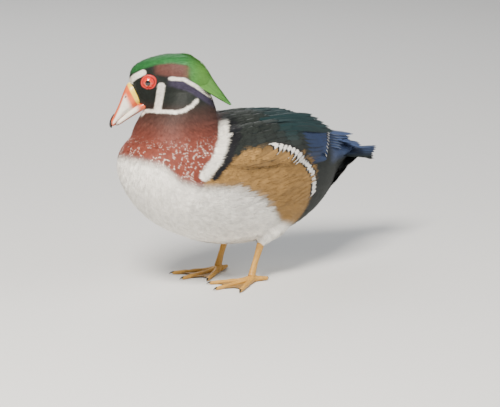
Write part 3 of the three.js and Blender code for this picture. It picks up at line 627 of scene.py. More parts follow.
def body_vanes(name, tracks, width, seed, barbs, tilt=SHINGLE_TILT):
    """Barbed feathers on both sides. A track is the line of one shaft, as (x, degrees, out) points."""
    spots, normals, wide, roots, hands = both_sides(tracks, width, seed, 0.07)
    return barbed_mesh(name, spots, normals, wide, roots, barbs, seed, tilt=-hands * tilt)


def body_tufts(name, tracks, width, seed, strands=15, rows=6, ragged=0.14):
    """Broad soft feathers on both sides, of many fine strands, along the same kind of tracks."""
    spots, normals, wide, roots, _ = both_sides(tracks, width, seed, 0.1)
    return tuft_mesh(
        name, spots, normals, wide, roots, (0.0, SOFT_RISE), seed, strands, rows, 0.75, 0.3, ragged)


def between(first, last, part):
    return first + (last - first) * part


def tier(x, degrees, length, count, lift, seed, drop=0.0, half=0.0, loose=1.0):
    """Tracks of one row of feathers side by side: the first and last angle, and how far they run back."""
    draw = np.random.default_rng(seed)
    tracks = []
    for k in range(count):
        angle = between(*degrees, (k + half) / (count - 1)) + draw.uniform(-1, 1) * loose
        start = x + draw.uniform(-2, 2) * loose
        span = length * draw.uniform(0.93, 1.07)
        turn = drop + draw.uniform(-1.5, 1.5) * loose
        tracks.append([
            (start + span * part, angle + turn * part, between(*lift, part)) for part in (0, 0.35, 0.7, 1)])
    return tracks


def tiers(places, degrees, lengths, counts, lifts, seed, drops=(0, 0), loose=1.0):
    """Rows behind rows, each staggered against the one before, from a first row's sizes to a last one's."""
    tracks = []
    for k, x in enumerate(places):
        part = k / (len(places) - 1)
        tracks += tier(
            x, [between(first, last, part) for first, last in zip(*degrees)], between(*lengths, part),
            round(between(*counts, part)), (lifts[0], between(*lifts[1:], part)), seed + k,
            between(*drops, part), 0.5 * (k % 2), loose,
        )
    return tracks


wing_coverts = body_vanes("wing_lesser_coverts", tiers(
    (-55, -50, -44, -39, -33), ((40, 78), (32, 80)), (17, 22), (9, 12), (0.1, 1.3, 1.6), 31,
), 8.5, 35, 26)
median_coverts = body_vanes("wing_median_coverts", tiers(
    (-25, -14, -3), ((32, 80), (32, 80)), (26, 31), (11, 10), (0.2, 1.8, 2.1), 36,
), 10, 37, 36)
greater_coverts = body_vanes("wing_greater_coverts", tier(8, (32, 79), 38, 10, (0.3, 2.5), 38), 11.5, 39, 46)
secondaries = body_vanes("wing_secondaries", [[
    (20, 44 + 4 * k, 0.2), (46, 45 + 4 * k, 1.6), (74, 44 + 4 * k, 3.2 + 0.2 * k),
    (105 - 3.4 * k, 40 + 4.4 * k, 6.0 + 0.2 * k),
] for k in range(9)], 10.5, 41, 96, tilt=0.3)
tertials = body_vanes("wing_tertials", [[
    (18 - 4 * k, 44 - 5 * k, 0.8), (48 - 4 * k, 43 - 5 * k, 2.4), (80 - 4 * k, 40 - 4.5 * k, 4.6),
    (113 - 6 * k, 36 - 4 * k, 7.4),
] for k in range(5)], 13, 43, 100)
scapulars = body_vanes("scapulars", [
    *tiers((-26, -14, -1, 13, 28), ((3, 38), (3, 27)), (24, 40), (9, 6), (0.3, 1.7, 3.4), 44, loose=2.2),
    *tiers((44, 58, 72), ((2, 30), (2, 26)), (34, 30), (7, 7), (0.3, 2.6, 2.6), 144, loose=2.2),
], 10.5, 50, 42)
flank_low = body_tufts("flank_low_feathers", tiers(
    (-46, -35, -24, -13, -2, 9, 20, 31, 41), ((132, 106), (120, 96)), (22, 27), (7, 6), (0.2, 1.3, 1.8), 51,
    (-4, -9), 1.6,
), 11, 55)
flank_high = body_tufts("flank_feathers", tiers(
    (-60, -49, -39, -29, -19, -9, 1, 12, 23), ((110, 86), (107, 80)), (24, 36), (8, 9), (0.3, 1.6, 3.2), 61,
    (-2, -8), 1.6,
), 12.5, 75)

# The flank ends in an arc of white feathers edged in black, along a line of (x, degrees) corners.
BARRED_LINE = ((12, 58), (26, 61), (38, 66), (49, 72), (58, 80), (65, 90), (69, 101), (70, 113))
BARRED_COUNT = 19
barred_steps = np.linspace(0, len(BARRED_LINE) - 1, BARRED_COUNT)
barred_places = [np.interp(barred_steps, range(len(BARRED_LINE)), corner) for corner in zip(*BARRED_LINE)]
flank_barred = body_tufts("flank_barred_feathers", [[
    (x - 32 * (1 - part), turn + 8 * (1 - part), 1.4 + 2.2 * part) for part in (0, 0.35, 0.7, 1)
] for x, turn in zip(*barred_places)], 10.5, 66, strands=21, rows=8, ragged=0.03)


# Tail: fourteen broad quills in an arched fan, with tiers of coverts over and under their roots.
def archway(x, y, z, arch):
    """A place and normal on an arched fan of tail feathers."""
    x, y, z = np.broadcast_arrays(np.asarray(x, float), y, z)
    spots = to_frame(np.stack([x, y, z - arch * y * y], -1))
    normals = unit(np.stack([np.zeros_like(x), 2 * arch * y, np.full_like(x, 1.0)], -1))
    return spots, normals


def fan(name, tracks, width, arch, seed, barbs, face=1.0):
    """Feathers of the tail. A track is the line of one shaft, as (x, y, z) points on the fan's mid line."""
    tracks = np.array(tracks, float)
    spots, normals = archway(tracks[..., 0], tracks[..., 1], tracks[..., 2], arch)
    wide = np.full(len(tracks), width * MM)
    return barbed_mesh(
        name, spots, normals * face, wide, root_spots(on_skin(spots[:, 0])[2]), barbs, seed, cup=0.1)


def covert_tracks(rows, bow, swell):
    """Tracks of rows of coverts. A row is where it starts and ends, as (x, half width, z), and a count."""
    tracks = []
    for (x0, half0, z0), (x1, half1, z1), count in rows:
        for side in np.linspace(-1, 1, count):
            middle = ((x0 + x1) / 2 - bow * side ** 2, side * (half0 + half1) / 2, (z0 + z1) / 2 + swell)
            tracks.append([(x0, side * half0, z0), middle, (x1 - 6 * side ** 2, side * half1, z1)])
    return tracks


QUILLS = 14
QUILL_SIDES = (np.arange(QUILLS) + 0.5) / QUILLS * 2 - 1
COVERTS_OVER = [
    ((96, 16, 124.5), (128, 15, 120), 9), ((106, 15, 120.5), (140, 15, 116.5), 9),
    ((118, 13, 117), (153, 14, 111.5), 9), ((130, 10, 112), (169, 14, 104), 8),
]
COVERTS_UNDER = [
    ((96, 16, 56), (130, 15, 71), 9), ((108, 15, 62), (142, 13, 78.5), 9),
    ((120, 12, 69.5), (153, 11, 85), 8), ((130, 10, 79), (169, 11, 92), 8),
]
quills = fan("tail_quills", [[
    (120, 6 * side, 103 - 3 * abs(side) + 0.25 * (k % 2)), (145, 9.5 * side, 101 - 4 * abs(side)),
    (172, 14 * side, 98.5 - 5 * abs(side)),
    (196.5 - 30 * abs(side) ** 1.6, 13.5 * side, 96.5 - 5.5 * abs(side)),
] for k, side in enumerate(QUILL_SIDES)], 12, 0.012, 71, 84)
tail_over = fan("tail_upper_coverts", covert_tracks(COVERTS_OVER, 1, 0.8), 10, 0.014, 72, 44)
tail_under = fan("tail_under_coverts", covert_tracks(COVERTS_UNDER, 0, -0.6), 10, -0.015, 73, 44, face=-1.0)

# The primaries of both wings lie folded over the root of the tail.
PRIMARIES = 6
primaries = np.array([[
    (84, hand * (26 + 0.6 * k), 131 - 2.4 * k), (104, hand * (18 + 1.2 * k), 126.5 - 2.4 * k),
    (128 - k, hand * (11.5 + 1.7 * k), 120 - 2.2 * k), (159 - 6 * k, hand * (6 + 1.4 * k), 113.5 - 1.9 * k),
] for hand in (-1, 1) for k in range(PRIMARIES)])
primary_hands = np.sign(primaries[..., 1])
primary_normals = unit(np.stack([
    np.full_like(primary_hands, 0.22), primary_hands * 0.5, np.full_like(primary_hands, 0.85)], -1))
primary_spots = to_frame(primaries)
wing_primaries = barbed_mesh(
    "wing_primaries", primary_spots, primary_normals, np.full(len(primaries), 9.5 * MM),
    root_spots(on_skin(primary_spots[:, 0])[2]), 90, 74, cup=0.2, tilt=-primary_hands[:, 0] * 0.1,
)


# Crest: narrow drooping vanes that sweep from the crown past the nape, layer over layer.
CREST_OVER = [(30, 0, 13), (41.8, 0, 7.2), (50, 0, -8.5), (50.5, 0, -27), (56, 0, -52)]
CREST_UNDER = [(26, 18, -9), (35, 15, -18), (42, 10, -28), (48, 5.5, -39), (55, 1.5, -51)]
CREST_LAYERS = [
    (0.0, 5.0, 150), (0.6, 5.0, 150), (1.1, 4.8, 150), (1.6, 4.6, 150), (2.0, 4.2, 140), (2.4, 3.8, 130),
]
CREST_SHARES = (0, 0.12, 0.26, 0.4, 0.55, 0.7, 0.84, 0.94, 1.0)
CREST_WIDTHS = (0.4, 0.8, 1.0, 1.0, 0.95, 0.8, 0.6, 0.35, 0.05)
CREST_BREADTH = 0.0015
CREST_ROOT_DEPTH = 0.0024


def crest_tracks():
    """Stations and normals of the crest's vanes in the head's own millimetres."""
    draw = np.random.default_rng(81)
    spots, normals = [], []
    for lift, reach, count in CREST_LAYERS:
        for k in range(count):
            share = (k + 0.5 + draw.uniform(-0.25, 0.25)) / count * 2 - 1
            size, hand = abs(share), math.copysign(1, share)
            line, facing = [], []
            for part in np.linspace(draw.uniform(0, 0.5), min(reach - draw.uniform(0, 0.9), 4.0), 6):
                j = min(int(part), 3)
                over = np.array(CREST_OVER[j]) * (1 - part + j) + np.array(CREST_OVER[j + 1]) * (part - j)
                under = np.array(CREST_UNDER[j]) * (1 - part + j) + np.array(CREST_UNDER[j + 1]) * (part - j)
                normal = unit(np.array([0.35 + part * 0.15, hand * size * 1.6, 1 - size * 0.5 - part * 0.18]))
                point = (over * (1 - size) + under * size) * np.array([1, hand, 1])
                line.append(point + normal * (lift - 0.8))
                facing.append(normal)
            spots.append(line)
            normals.append(facing)
    return np.array(spots), np.array(normals)


def crest_mesh(name, seed):
    """The crest's vanes, each slim and slightly cupped, with its root sunk in the crown."""
    spots, normals = crest_tracks()
    spots = to_frame(spots @ HEAD_AXES.T + HEAD_CENTRE)
    spine, facing, ahead, across = shafts(spots, normals @ HEAD_AXES.T, CREST_SHARES)
    facing = unit(np.cross(across, ahead))
    share = np.array(CREST_SHARES)
    sides = np.linspace(-1, 1, 3)
    half = CREST_BREADTH / 2 * np.array(CREST_WIDTHS)[:, None]
    rise = CREST_ROOT_DEPTH * (share[:, None] ** 0.8 - 1) - 0.25 * half * sides ** 2
    aside = across[:, :, None] * (half * sides)[..., None]
    points = spine[:, :, None] + aside + facing[:, :, None] * rise[..., None]
    points = points.reshape(len(spots), -1, 3)
    cell = np.arange(points.shape[1]).reshape(len(share), 3)
    vane = np.stack(np.meshgrid(sides * 0.5 + 0.5, share, indexing="xy"), -1).reshape(-1, 2)
    painted = drawn_to_shaft(spots, points, 0.6, 0.3)
    chance = np.random.default_rng(seed).random(len(spots))
    roots = root_spots(on_skin(spots[:, 0])[2])
    return vane_object(name, points, cell, roots, np.tile(vane, (len(spots), 1)), chance, painted, crest=True)


crest = crest_mesh("crest_feathers", 82)


# Plumage colours: one group mixes the drake's pigments by the markings, and the material adds fine
# barbs, bars, tips, edges and the shaft. All feathers and the skin use them.
def new_material(name):
    made = bpy.data.materials.new(name)
    made.use_nodes = True
    return made, made.node_tree, made.node_tree.nodes["Principled BSDF"]


def set_inputs(node, **values):
    for label, value in values.items():
        node.inputs[label.replace("_", " ")].default_value = value


def give(tree, socket, value):
    """Feeds a socket with another one, a colour or a number."""
    if isinstance(value, tuple):
        socket.default_value = (*value, 1.0)
    elif isinstance(value, (int, float)):
        socket.default_value = value
    else:
        tree.links.new(value, socket)


def math_node(tree, operation, *values, clamp=False):
    node = tree.nodes.new("ShaderNodeMath")
    node.operation = operation
    node.use_clamp = clamp
    for socket, value in zip(node.inputs, values):
        give(tree, socket, value)
    return node.outputs[0]


def rising(tree, value, low, high):
    """0 where the value is at low, 1 where it is at high, and straight between them."""
    slope = 1 / (high - low)
    return math_node(tree, "MULTIPLY_ADD", value, slope, -low * slope, clamp=True)


def mix_colour(tree, factor, first, second, kind="MIX"):
    node = tree.nodes.new("ShaderNodeMix")
    node.data_type = "RGBA"
    node.blend_type = kind
    for socket, value in ((node.inputs[0], factor), (node.inputs[6], first), (node.inputs[7], second)):
        give(tree, socket, value)
    return node.outputs[2]


def parts_of(tree, vector):
    """The three numbers of a vector socket."""
    apart = tree.nodes.new("ShaderNodeSeparateXYZ")
    tree.links.new(vector, apart.inputs[0])
    return apart.outputs


def attribute(tree, name):
    node = tree.nodes.new("ShaderNodeAttribute")
    node.attribute_name = name
    return node


def texture(tree, kind, **values):
    """A texture over the object's own coordinates, with its settings by their labels."""
    node = tree.nodes.new(kind)
    place = tree.nodes.new("ShaderNodeTexCoord")
    tree.links.new(place.outputs["Object"], node.inputs["Vector"])
    set_inputs(node, **values)
    return node.outputs


def relief(tree, shader, height, strength, depth, invert=False):
    """Fine relief of the surface from a height, with its depth in metres."""
    bump = tree.nodes.new("ShaderNodeBump")
    bump.invert = invert
    set_inputs(bump, Strength=strength, Distance=depth)
    tree.links.new(height, bump.inputs["Height"])
    tree.links.new(bump.outputs[0], shader.inputs["Normal"])


PIGMENTS = {
    "dark": (0.014, 0.018, 0.015), "white": (0.92, 0.88, 0.79), "chestnut": (0.21, 0.048, 0.03),
    "tan": (0.33, 0.185, 0.055), "green": (0.03, 0.17, 0.045), "maroon": (0.115, 0.043, 0.034),
    "blue": (0.050, 0.080, 0.175), "teal": (0.011, 0.031, 0.033), "black": (0.005, 0.005, 0.007),
    "belly": (0.92, 0.89, 0.82), "purple": (0.048, 0.040, 0.072), "lime": (0.16, 0.33, 0.04),
}
FLECK = (0.80, 0.74, 0.66)
FLECK_START = 0.84
FLECK_HALF = 0.22
FLECK_CHANCE = 0.7
TONE_LOW = 0.83
TONE_SPAN = 0.34
pigments = bpy.data.node_groups.new("drake_pigments", "ShaderNodeTree")
for label in MARKS:
    pigments.interface.new_socket(f"{label} marks", in_out="INPUT", socket_type="NodeSocketVector")
for label in ("Across", "Chance", "Tip"):
    socket = pigments.interface.new_socket(label, in_out="INPUT", socket_type="NodeSocketFloat")
    socket.default_value = 0.5
pigments.interface.new_socket("Colour", in_out="OUTPUT", socket_type="NodeSocketColor")
pigments.interface.new_socket("Gloss", in_out="OUTPUT", socket_type="NodeSocketFloat")
entry = pigments.nodes.new("NodeGroupInput").outputs
leave = pigments.nodes.new("NodeGroupOutput").inputs
face_marks, gloss_marks, under_marks, sheen_marks = (
    parts_of(pigments, entry[f"{label} marks"]) for label in MARKS
)
colour = mix_colour(pigments, sheen_marks[0], PIGMENTS["dark"], PIGMENTS["teal"])
for share, name in (
    (gloss_marks[2], "blue"), (face_marks[2], "tan"), (face_marks[1], "chestnut"),
    (under_marks[2], "belly"), (gloss_marks[1], "maroon"), (gloss_marks[0], "green"),
    (sheen_marks[1], "purple"), (sheen_marks[2], "lime"), (under_marks[0], "black"), (face_marks[0], "white"),
):
    colour = mix_colour(pigments, share, colour, PIGMENTS[name])
off_middle = math_node(pigments, "ABSOLUTE", math_node(pigments, "SUBTRACT", entry["Across"], 0.5))
flecked = under_marks[1]
for test in (
    math_node(pigments, "GREATER_THAN", entry["Tip"], FLECK_START),
    math_node(pigments, "LESS_THAN", off_middle, FLECK_HALF),
    math_node(pigments, "GREATER_THAN", entry["Chance"], FLECK_CHANCE),
):
    flecked = math_node(pigments, "MULTIPLY", flecked, test)
colour = mix_colour(pigments, flecked, colour, FLECK)
shade = math_node(pigments, "MULTIPLY_ADD", entry["Chance"], TONE_SPAN, TONE_LOW)
pigments.links.new(mix_colour(pigments, 1.0, colour, shade, "MULTIPLY"), leave["Colour"])
gloss = math_node(pigments, "ADD", gloss_marks[0], gloss_marks[2], clamp=True)
sheen = math_node(pigments, "ADD", sheen_marks[0], sheen_marks[1], clamp=True)
pigments.links.new(math_node(pigments, "MAXIMUM", gloss, sheen), leave["Gloss"])

BAR_WANDER = 9.0
BAR_PHASE = 230.0
BAR_STRENGTH = 0.45
BAR_BROWN = (0.07, 0.04, 0.02)
SHAFT_BLACK = (0.02, 0.018, 0.016)
TIP_BLUR = 1 / 30
EDGE_START, EDGE_FULL = 0.38, 0.505
SHAFT_HALF = 0.022


def plumage_material(name, barbs=5.0, rough=0.62, bars=False, tips=(), shaft=0.0, edge=None):
    """Pigments by place, fine barbs across the vane, a soft sheen, and what one kind of feather adds."""
    made, tree, shader = new_material(name)
    group = tree.nodes.new("ShaderNodeGroup")
    group.node_tree = pigments
    for label in MARKS:
        marks = attribute(tree, f"marks_{label.lower()}").outputs["Vector"]
        tree.links.new(marks, group.inputs[f"{label} marks"])
    tree.links.new(attribute(tree, "chance").outputs["Fac"], group.inputs["Chance"])
    vane = tree.nodes.new("ShaderNodeUVMap")
    vane.uv_map = "Vane"
    across, along, _ = parts_of(tree, vane.outputs[0])
    tree.links.new(across, group.inputs["Across"])
    tree.links.new(along, group.inputs["Tip"])
    side = math_node(tree, "ABSOLUTE", math_node(tree, "SUBTRACT", across, 0.5))
    run = math_node(tree, "SUBTRACT", along, math_node(tree, "MULTIPLY", side, 0.35))
    ridge = math_node(tree, "SINE", math_node(tree, "MULTIPLY", run, barbs * 6.28))
    colour = group.outputs["Colour"]
    if bars:
        wander = texture(tree, "ShaderNodeTexNoise", Scale=380.0, Detail=2.0)["Fac"]
        phase = math_node(tree, "MULTIPLY", along, BAR_PHASE)
        phase = math_node(tree, "MULTIPLY_ADD", wander, BAR_WANDER, phase)
        line = math_node(tree, "MULTIPLY_ADD", math_node(tree, "SINE", phase), 1.6, -0.5, clamp=True)
        colour = mix_colour(tree, math_node(tree, "MULTIPLY", line, BAR_STRENGTH), colour, BAR_BROWN)
    bow = math_node(tree, "MULTIPLY_ADD", math_node(tree, "MULTIPLY", side, side), -0.5, along)
    for start, tint in tips:
        colour = mix_colour(tree, rising(tree, bow, start, start + TIP_BLUR), colour, tint)
    # On the crest this edge colour is painted shade between its strands.
    if edge is not None:
        colour = mix_colour(tree, rising(tree, side, EDGE_START, EDGE_FULL), colour, edge)
    if shaft:
        quill = math_node(tree, "MULTIPLY", math_node(tree, "LESS_THAN", side, SHAFT_HALF), shaft)
        colour = mix_colour(tree, quill, colour, SHAFT_BLACK)
    tint = math_node(tree, "MULTIPLY_ADD", ridge, 0.045, 0.97)
    tree.links.new(mix_colour(tree, 1.0, colour, tint, "MULTIPLY"), shader.inputs["Base Color"])
    gloss = group.outputs["Gloss"]
    tree.links.new(math_node(tree, "MULTIPLY_ADD", gloss, -0.14, rough), shader.inputs["Roughness"])
    tree.links.new(math_node(tree, "MULTIPLY", gloss, 0.15), shader.inputs["Metallic"])
    relief(tree, shader, ridge, 0.15, 0.0002)
    set_inputs(shader, Specular_IOR_Level=0.3, Sheen_Weight=0.03, Sheen_Roughness=0.45)
    return made


small_feather = plumage_material("small_feathers")
skin_cover = plumage_material("down_over_skin", barbs=1.0, rough=0.8)
skin.data.materials.append(skin_cover)
store(skin.data, "chance", np.full(len(skin_points), 0.3))
skin.data.uv_layers.new(name="Vane")
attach(skin, "root")
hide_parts("head", "neck", "torso", "thigh_left", "thigh_right", "wing_left", "wing_right", "tail")
for name, piece in coats.items():
    piece.data.materials.append(small_feather)
    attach(piece, "root")


# Finishes of the long feathers: dark edges on the wings and back, fine bars on the flank, the white
# arc edged in black, the blue patch of the secondaries with its white rim, and silver primaries.
BLACK_BAND = (0.008, 0.008, 0.008)
ARC_WHITE = (0.88, 0.85, 0.79)
PATCH_BLUE = (0.016, 0.030, 0.075)
PATCH_BLACK = (0.01, 0.01, 0.012)
PATCH_RIM = (0.70, 0.70, 0.68)
long_feather = plumage_material("long_feathers", rough=0.5, shaft=0.6, edge=(0.005, 0.010, 0.012))
flank_feather = plumage_material("flank_vermiculated", bars=True)
barred_feather = plumage_material(
    "flank_barred", bars=True, tips=((0.58, BLACK_BAND), (0.66, ARC_WHITE), (0.84, BLACK_BAND)))
# The crest's edge colour is a deeper copy of its green toward each strand's sides: painted shade between the
# strands.
crest_feather_with_edge_shade = plumage_material("crest_strands_edge_shaded", barbs=8.0, rough=0.46, edge=(0.012, 0.050, 0.016))
speculum = plumage_material(
    "speculum", rough=0.46, shaft=0.6, edge=(0.006, 0.009, 0.014),
    tips=((0.35, PATCH_BLUE), (0.90, PATCH_BLACK), (0.945, PATCH_RIM)))
silver_edged = plumage_material("primary_feathers", rough=0.5, shaft=0.6, edge=(0.16, 0.18, 0.21))
LONG_PIECES = {
    "wing_feathers": [
        (wing_coverts, long_feather), (median_coverts, long_feather), (greater_coverts, long_feather),
        (secondaries, speculum), (tertials, long_feather), (wing_primaries, silver_edged),
    ],
    "body_plumage": [
        (scapulars, long_feather), (flank_low, flank_feather), (flank_high, flank_feather),
        (flank_barred, barred_feather),
    ],
    "tail_feathers": [(quills, long_feather), (tail_over, long_feather), (tail_under, long_feather)],
    "head_plumage": [(crest, crest_feather_with_edge_shade)],
}
for slot, pieces in LONG_PIECES.items():
    for piece, finish in pieces:
        piece.data.materials.append(finish)
        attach(piece, "root")


# Bill: smooth horn over bone, red along the ridge, with white sides, a yellow band at its base and a
# black hooked nail. The nostrils are pits high on its sides, darkened with painted shade, and fine combs line
# the edge of the upper half.
BILL_UPPER = [
    (-11.5, 0, -6.5, 0, 0, 0), (-13.5, 0, -6, 7.5, 10, 9), (-19.5, 0, -6.5, 9.3, 11.5, 11),
    (-26.5, 0, -10, 8.9, 9.5, 8.6), (-34.5, 0, -15, 8.2, 6.6, 5), (-42, 0, -19, 8, 4.2, 3.2),
    (-47, 0, -21.5, 6.6, 3, 3.2), (-49.5, 0, -23.5, 0, 0, 0),
]
BILL_LOWER = [
    (-9.5, 0, -18.5, 0, 0, 0), (-12.5, 0, -18.5, 7, 3.5, 3.5), (-21.5, 0, -19, 8, 3.5, 4),
    (-33.5, 0, -21.5, 7.2, 3.5, 3), (-43.5, 0, -23.5, 6.2, 3, 2.2), (-46.5, 0, -23.9, 0, 0, 0),
]
NAIL = [
    (-41, 0, -15.1, 0, 0, 0), (-43, 0, -16.1, 2.6, 0.9, 1.2), (-46.5, 0, -18.8, 3.5, 1.0, 1.4),
    (-49.1, 0, -22.1, 3.4, 0.9, 1.6), (-49.8, 0, -24.7, 2.2, 0.7, 1.2), (-49.7, 0, -25.7, 0, 0, 0),
]
NOSTRIL = (-26.1, -4.3)
BILL_SIDE = 3.0


def built(name, bm, place):
    """The object that a shape becomes once it is set in its place. The shape is used up."""
    bmesh.ops.transform(bm, matrix=place, verts=bm.verts)
    mesh = bpy.data.meshes.new(name)
    bm.to_mesh(mesh)
    bm.free()
    mesh.shade_smooth()
    return in_scene(name, mesh)


def horn_mesh(name, rows, rings, sides, marks, shape=None, up=(0, 0, 1)):
    """One half of the bill in the head's millimetres, shaped point by point, then set on the head."""
    bm = bmesh.new()
    loft(bm, rows, rings, sides, up=up, fullness=2.3)
    bmesh.ops.recalc_face_normals(bm, faces=bm.faces)
    points = np.array([v.co for v in bm.verts])
    if shape is not None:
        points = points + np.array([v.normal for v in bm.verts]) * shape(points)[:, None]
        for vertex, point in zip(bm.verts, points):
            vertex.co = point
    piece = built(name, bm, BIRD_PLACE @ HEAD_PLACE)
    store(piece.data, "horn_marks", marks(points))
    return piece


def cutting_edge(x):
    """The height of the upper half's edge along the bill."""
    return np.interp(x, [-49.5, -42, -34.5, -19.5], [-24.5, -22.2, -20, -17.5])


def nostril_distance(x, z):
    """How far places on the bill's side are from the slanting slit of the nostril."""
    ahead, above = x - NOSTRIL[0], z - NOSTRIL[1]
    return np.hypot(ahead * 0.88 + above * 0.47, (above * 0.88 - ahead * 0.47) * 1.9)


def upper_shape(points):
    """How far the horn stands out: the nostril and its rim, the combs, and grooves at edge and base."""
    x, y, z = points.T
    pit = nostril_distance(x, z)
    open_side = np.abs(y) > BILL_SIDE
    hollow = -(1 - ramp(pit, 1.0, 1.75)) * 1.25 + np.exp(-((pit - 2.3) / 0.55) ** 2) * 0.22
    height = z - cutting_edge(x)
    comb = np.sin(x * 7.5) * 0.07 * (1 - ramp(height, 0.2, 2.6))
    comb = comb * ramp(-x, 17.5, 23.5) * (1 - ramp(-x, 44.5, 47.5))
    rim = np.exp(-((height - 3.0) / 0.8) ** 2) * -0.16 * open_side
    base = np.exp(-((x + 17.1) / 0.7) ** 2) * -0.2
    return hollow * open_side + comb + rim + base


def upper_marks(points):
    """Shares of the yellow band, the white side, the black nail and ridge, and painted shade in the nostril.
    """
    x, y, z = points.T
    wide = np.abs(y)
    ridge = np.interp(x, [-49.5, -47, -42, -34.5, -26.5, -19.5], [-23, -18.5, -14.8, -8.4, -0.5, 5])
    yellow = 1 - ramp(np.abs(x + 16.4 + (z + 6.5) * 0.05), 2.6, 3.6)
    side = ramp(ridge - z, 1.2, 3.4) * ramp(z - cutting_edge(x), 0.6, 1.6)
    white = side * ramp(-x, 22.5, 28) * (1 - ramp(-x, 45, 47.5))
    # Painted shade: the nostril's pit is darkened where its opening would be dark inside.
    dark = (1 - ramp(nostril_distance(x, z), 1.1, 1.7)) * (wide > BILL_SIDE)
    dark = dark + ramp(-x, 44, 47) * (1 - ramp(wide, 3.0, 4.6))
    dark = dark + (1 - ramp(wide, 0.5, 1.9)) * ramp(-x, 30, 42) * 0.75
    return np.column_stack([yellow, white, np.clip(dark, 0, 1)])


def lower_marks(points):
    x, _, z = points.T
    under = ramp(np.interp(x, [-46, -21, -12], [-25, -21, -20]) - z, -0.6, 0.8)
    white = (1 - under) * ramp(-x, 17, 24)
    return np.column_stack([np.zeros(len(x)), white, 0.9 * ramp(-x, 40, 46) + 0.35 * under])


def nail_marks(points):
    return np.tile([0.0, 0.0, 1.0], (len(points), 1))


HORN_REDS = ((0.55, 0.05, 0.015), (0.86, 0.17, 0.03))
HORN_WHITE = (0.86, 0.80, 0.70)
HORN_YELLOW = (0.90, 0.62, 0.05)
HORN_BLACK_AND_NOSTRIL_SHADE = (0.018, 0.014, 0.013)
bill_horn, tree, shader = new_material("bill_horn")
yellow, white, dark = parts_of(tree, attribute(tree, "horn_marks").outputs["Vector"])
grain = texture(tree, "ShaderNodeTexNoise", Scale=420.0, Detail=4.0)["Fac"]
cloud = texture(tree, "ShaderNodeTexNoise", Scale=90.0)["Fac"]
colour = mix_colour(tree, cloud, *HORN_REDS)
# The dark share is the black nail and ridge, and painted shade in the nostrils.
for share, tint in ((white, HORN_WHITE), (yellow, HORN_YELLOW), (dark, HORN_BLACK_AND_NOSTRIL_SHADE)):
    colour = mix_colour(tree, share, colour, tint)
tone = math_node(tree, "MULTIPLY_ADD", grain, 0.3, 0.85)
tree.links.new(mix_colour(tree, 1.0, colour, tone, "MULTIPLY"), shader.inputs["Base Color"])
tree.links.new(math_node(tree, "MULTIPLY_ADD", grain, 0.22, 0.24), shader.inputs["Roughness"])
relief(tree, shader, grain, 0.12, 0.0004)
set_inputs(shader, Coat_Weight=0.25, Coat_Roughness=0.2)
set_inputs(shader, Subsurface_Weight=0.08, Subsurface_Radius=(0.004, 0.002, 0.001))

bill_upper = horn_mesh("bill_upper_horn", BILL_UPPER, 100, 80, upper_marks, upper_shape)
bill_lower = horn_mesh("bill_lower_horn", BILL_LOWER, 60, 48, lower_marks)
bill_nail = horn_mesh("bill_nail", NAIL, 22, 24, nail_marks, up=None)
for piece in (bill_upper, bill_lower, bill_nail):
    piece.data.materials.append(bill_horn)
    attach(piece, "root")
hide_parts("bill_upper")
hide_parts("bill_lower")


# Eyes: a wet ball with a red iris round a black pupil, set in a ring of bare red lid with fine folds.
EYE_RADIUS = 6.6
EYE_SIDE = 10.2
EYE_TURN = 13
CORNEA_RADIUS = 4.6
CORNEA_RISE = 0.55
LID_RADIUS = 6.1
LID_SIDE = 13.2
LID_THICK = 1.15
LID_FOLDS = 26
upright = Matrix.Rotation(math.radians(90), 3, "X")

# The iris is streaked outwards, orange near the pupil and dark at its rim. Distances are millimetres.
IRIS_REDS = ((0.34, 0.004, 0.003), (0.90, 0.03, 0.015))
IRIS_ORANGE = (1.0, 0.22, 0.05)
IRIS_RIM = (0.05, 0.004, 0.004)
PUPIL_BLACK = (0.002, 0.002, 0.002)
LID_REDS = ((0.34, 0.010, 0.008), (0.62, 0.03, 0.018))
eye_wet, tree, shader = new_material("eye_wet")
from_middle, turn, _ = parts_of(tree, attribute(tree, "eye_place").outputs["Vector"])
spoke = tree.nodes.new("ShaderNodeCombineXYZ")
tree.links.new(math_node(tree, "MULTIPLY", turn, 22.0), spoke.inputs[0])
tree.links.new(math_node(tree, "MULTIPLY", from_middle, 0.5), spoke.inputs[1])
streaks = tree.nodes.new("ShaderNodeTexNoise")
streaks.noise_dimensions = "2D"
set_inputs(streaks, Scale=1.0, Detail=3.0)
tree.links.new(spoke.outputs[0], streaks.inputs["Vector"])
iris = mix_colour(tree, streaks.outputs["Fac"], *IRIS_REDS)
inner = math_node(tree, "MULTIPLY_ADD", from_middle, -1.2, 3.9, clamp=True)
iris = mix_colour(tree, math_node(tree, "MULTIPLY", inner, 0.55), iris, IRIS_ORANGE)
iris = mix_colour(tree, rising(tree, from_middle, 4.875, 5.5), iris, IRIS_RIM)
iris = mix_colour(tree, rising(tree, from_middle, 2.6, 2.4), iris, PUPIL_BLACK)
tree.links.new(iris, shader.inputs["Base Color"])
set_inputs(shader, Roughness=0.22, Coat_Weight=1.0, Coat_Roughness=0.02)

lid_skin, tree, shader = new_material("lid_skin")
fold = texture(tree, "ShaderNodeTexVoronoi", Scale=1500.0)["Distance"]
tree.links.new(mix_colour(tree, fold, *LID_REDS), shader.inputs["Base Color"])
relief(tree, shader, fold, 0.4, 0.0002)
set_inputs(shader, Roughness=0.42)


def put_in_order(bm):
    """Sorts the faces by their corners, because a sphere or a spin leaves them in a new order each run."""
    bm.verts.index_update()
    ranked = sorted(bm.faces, key=lambda face: sorted(v.index for v in face.verts))
    rank = {face: k for k, face in enumerate(ranked)}
    bm.faces.sort(key=rank.get)


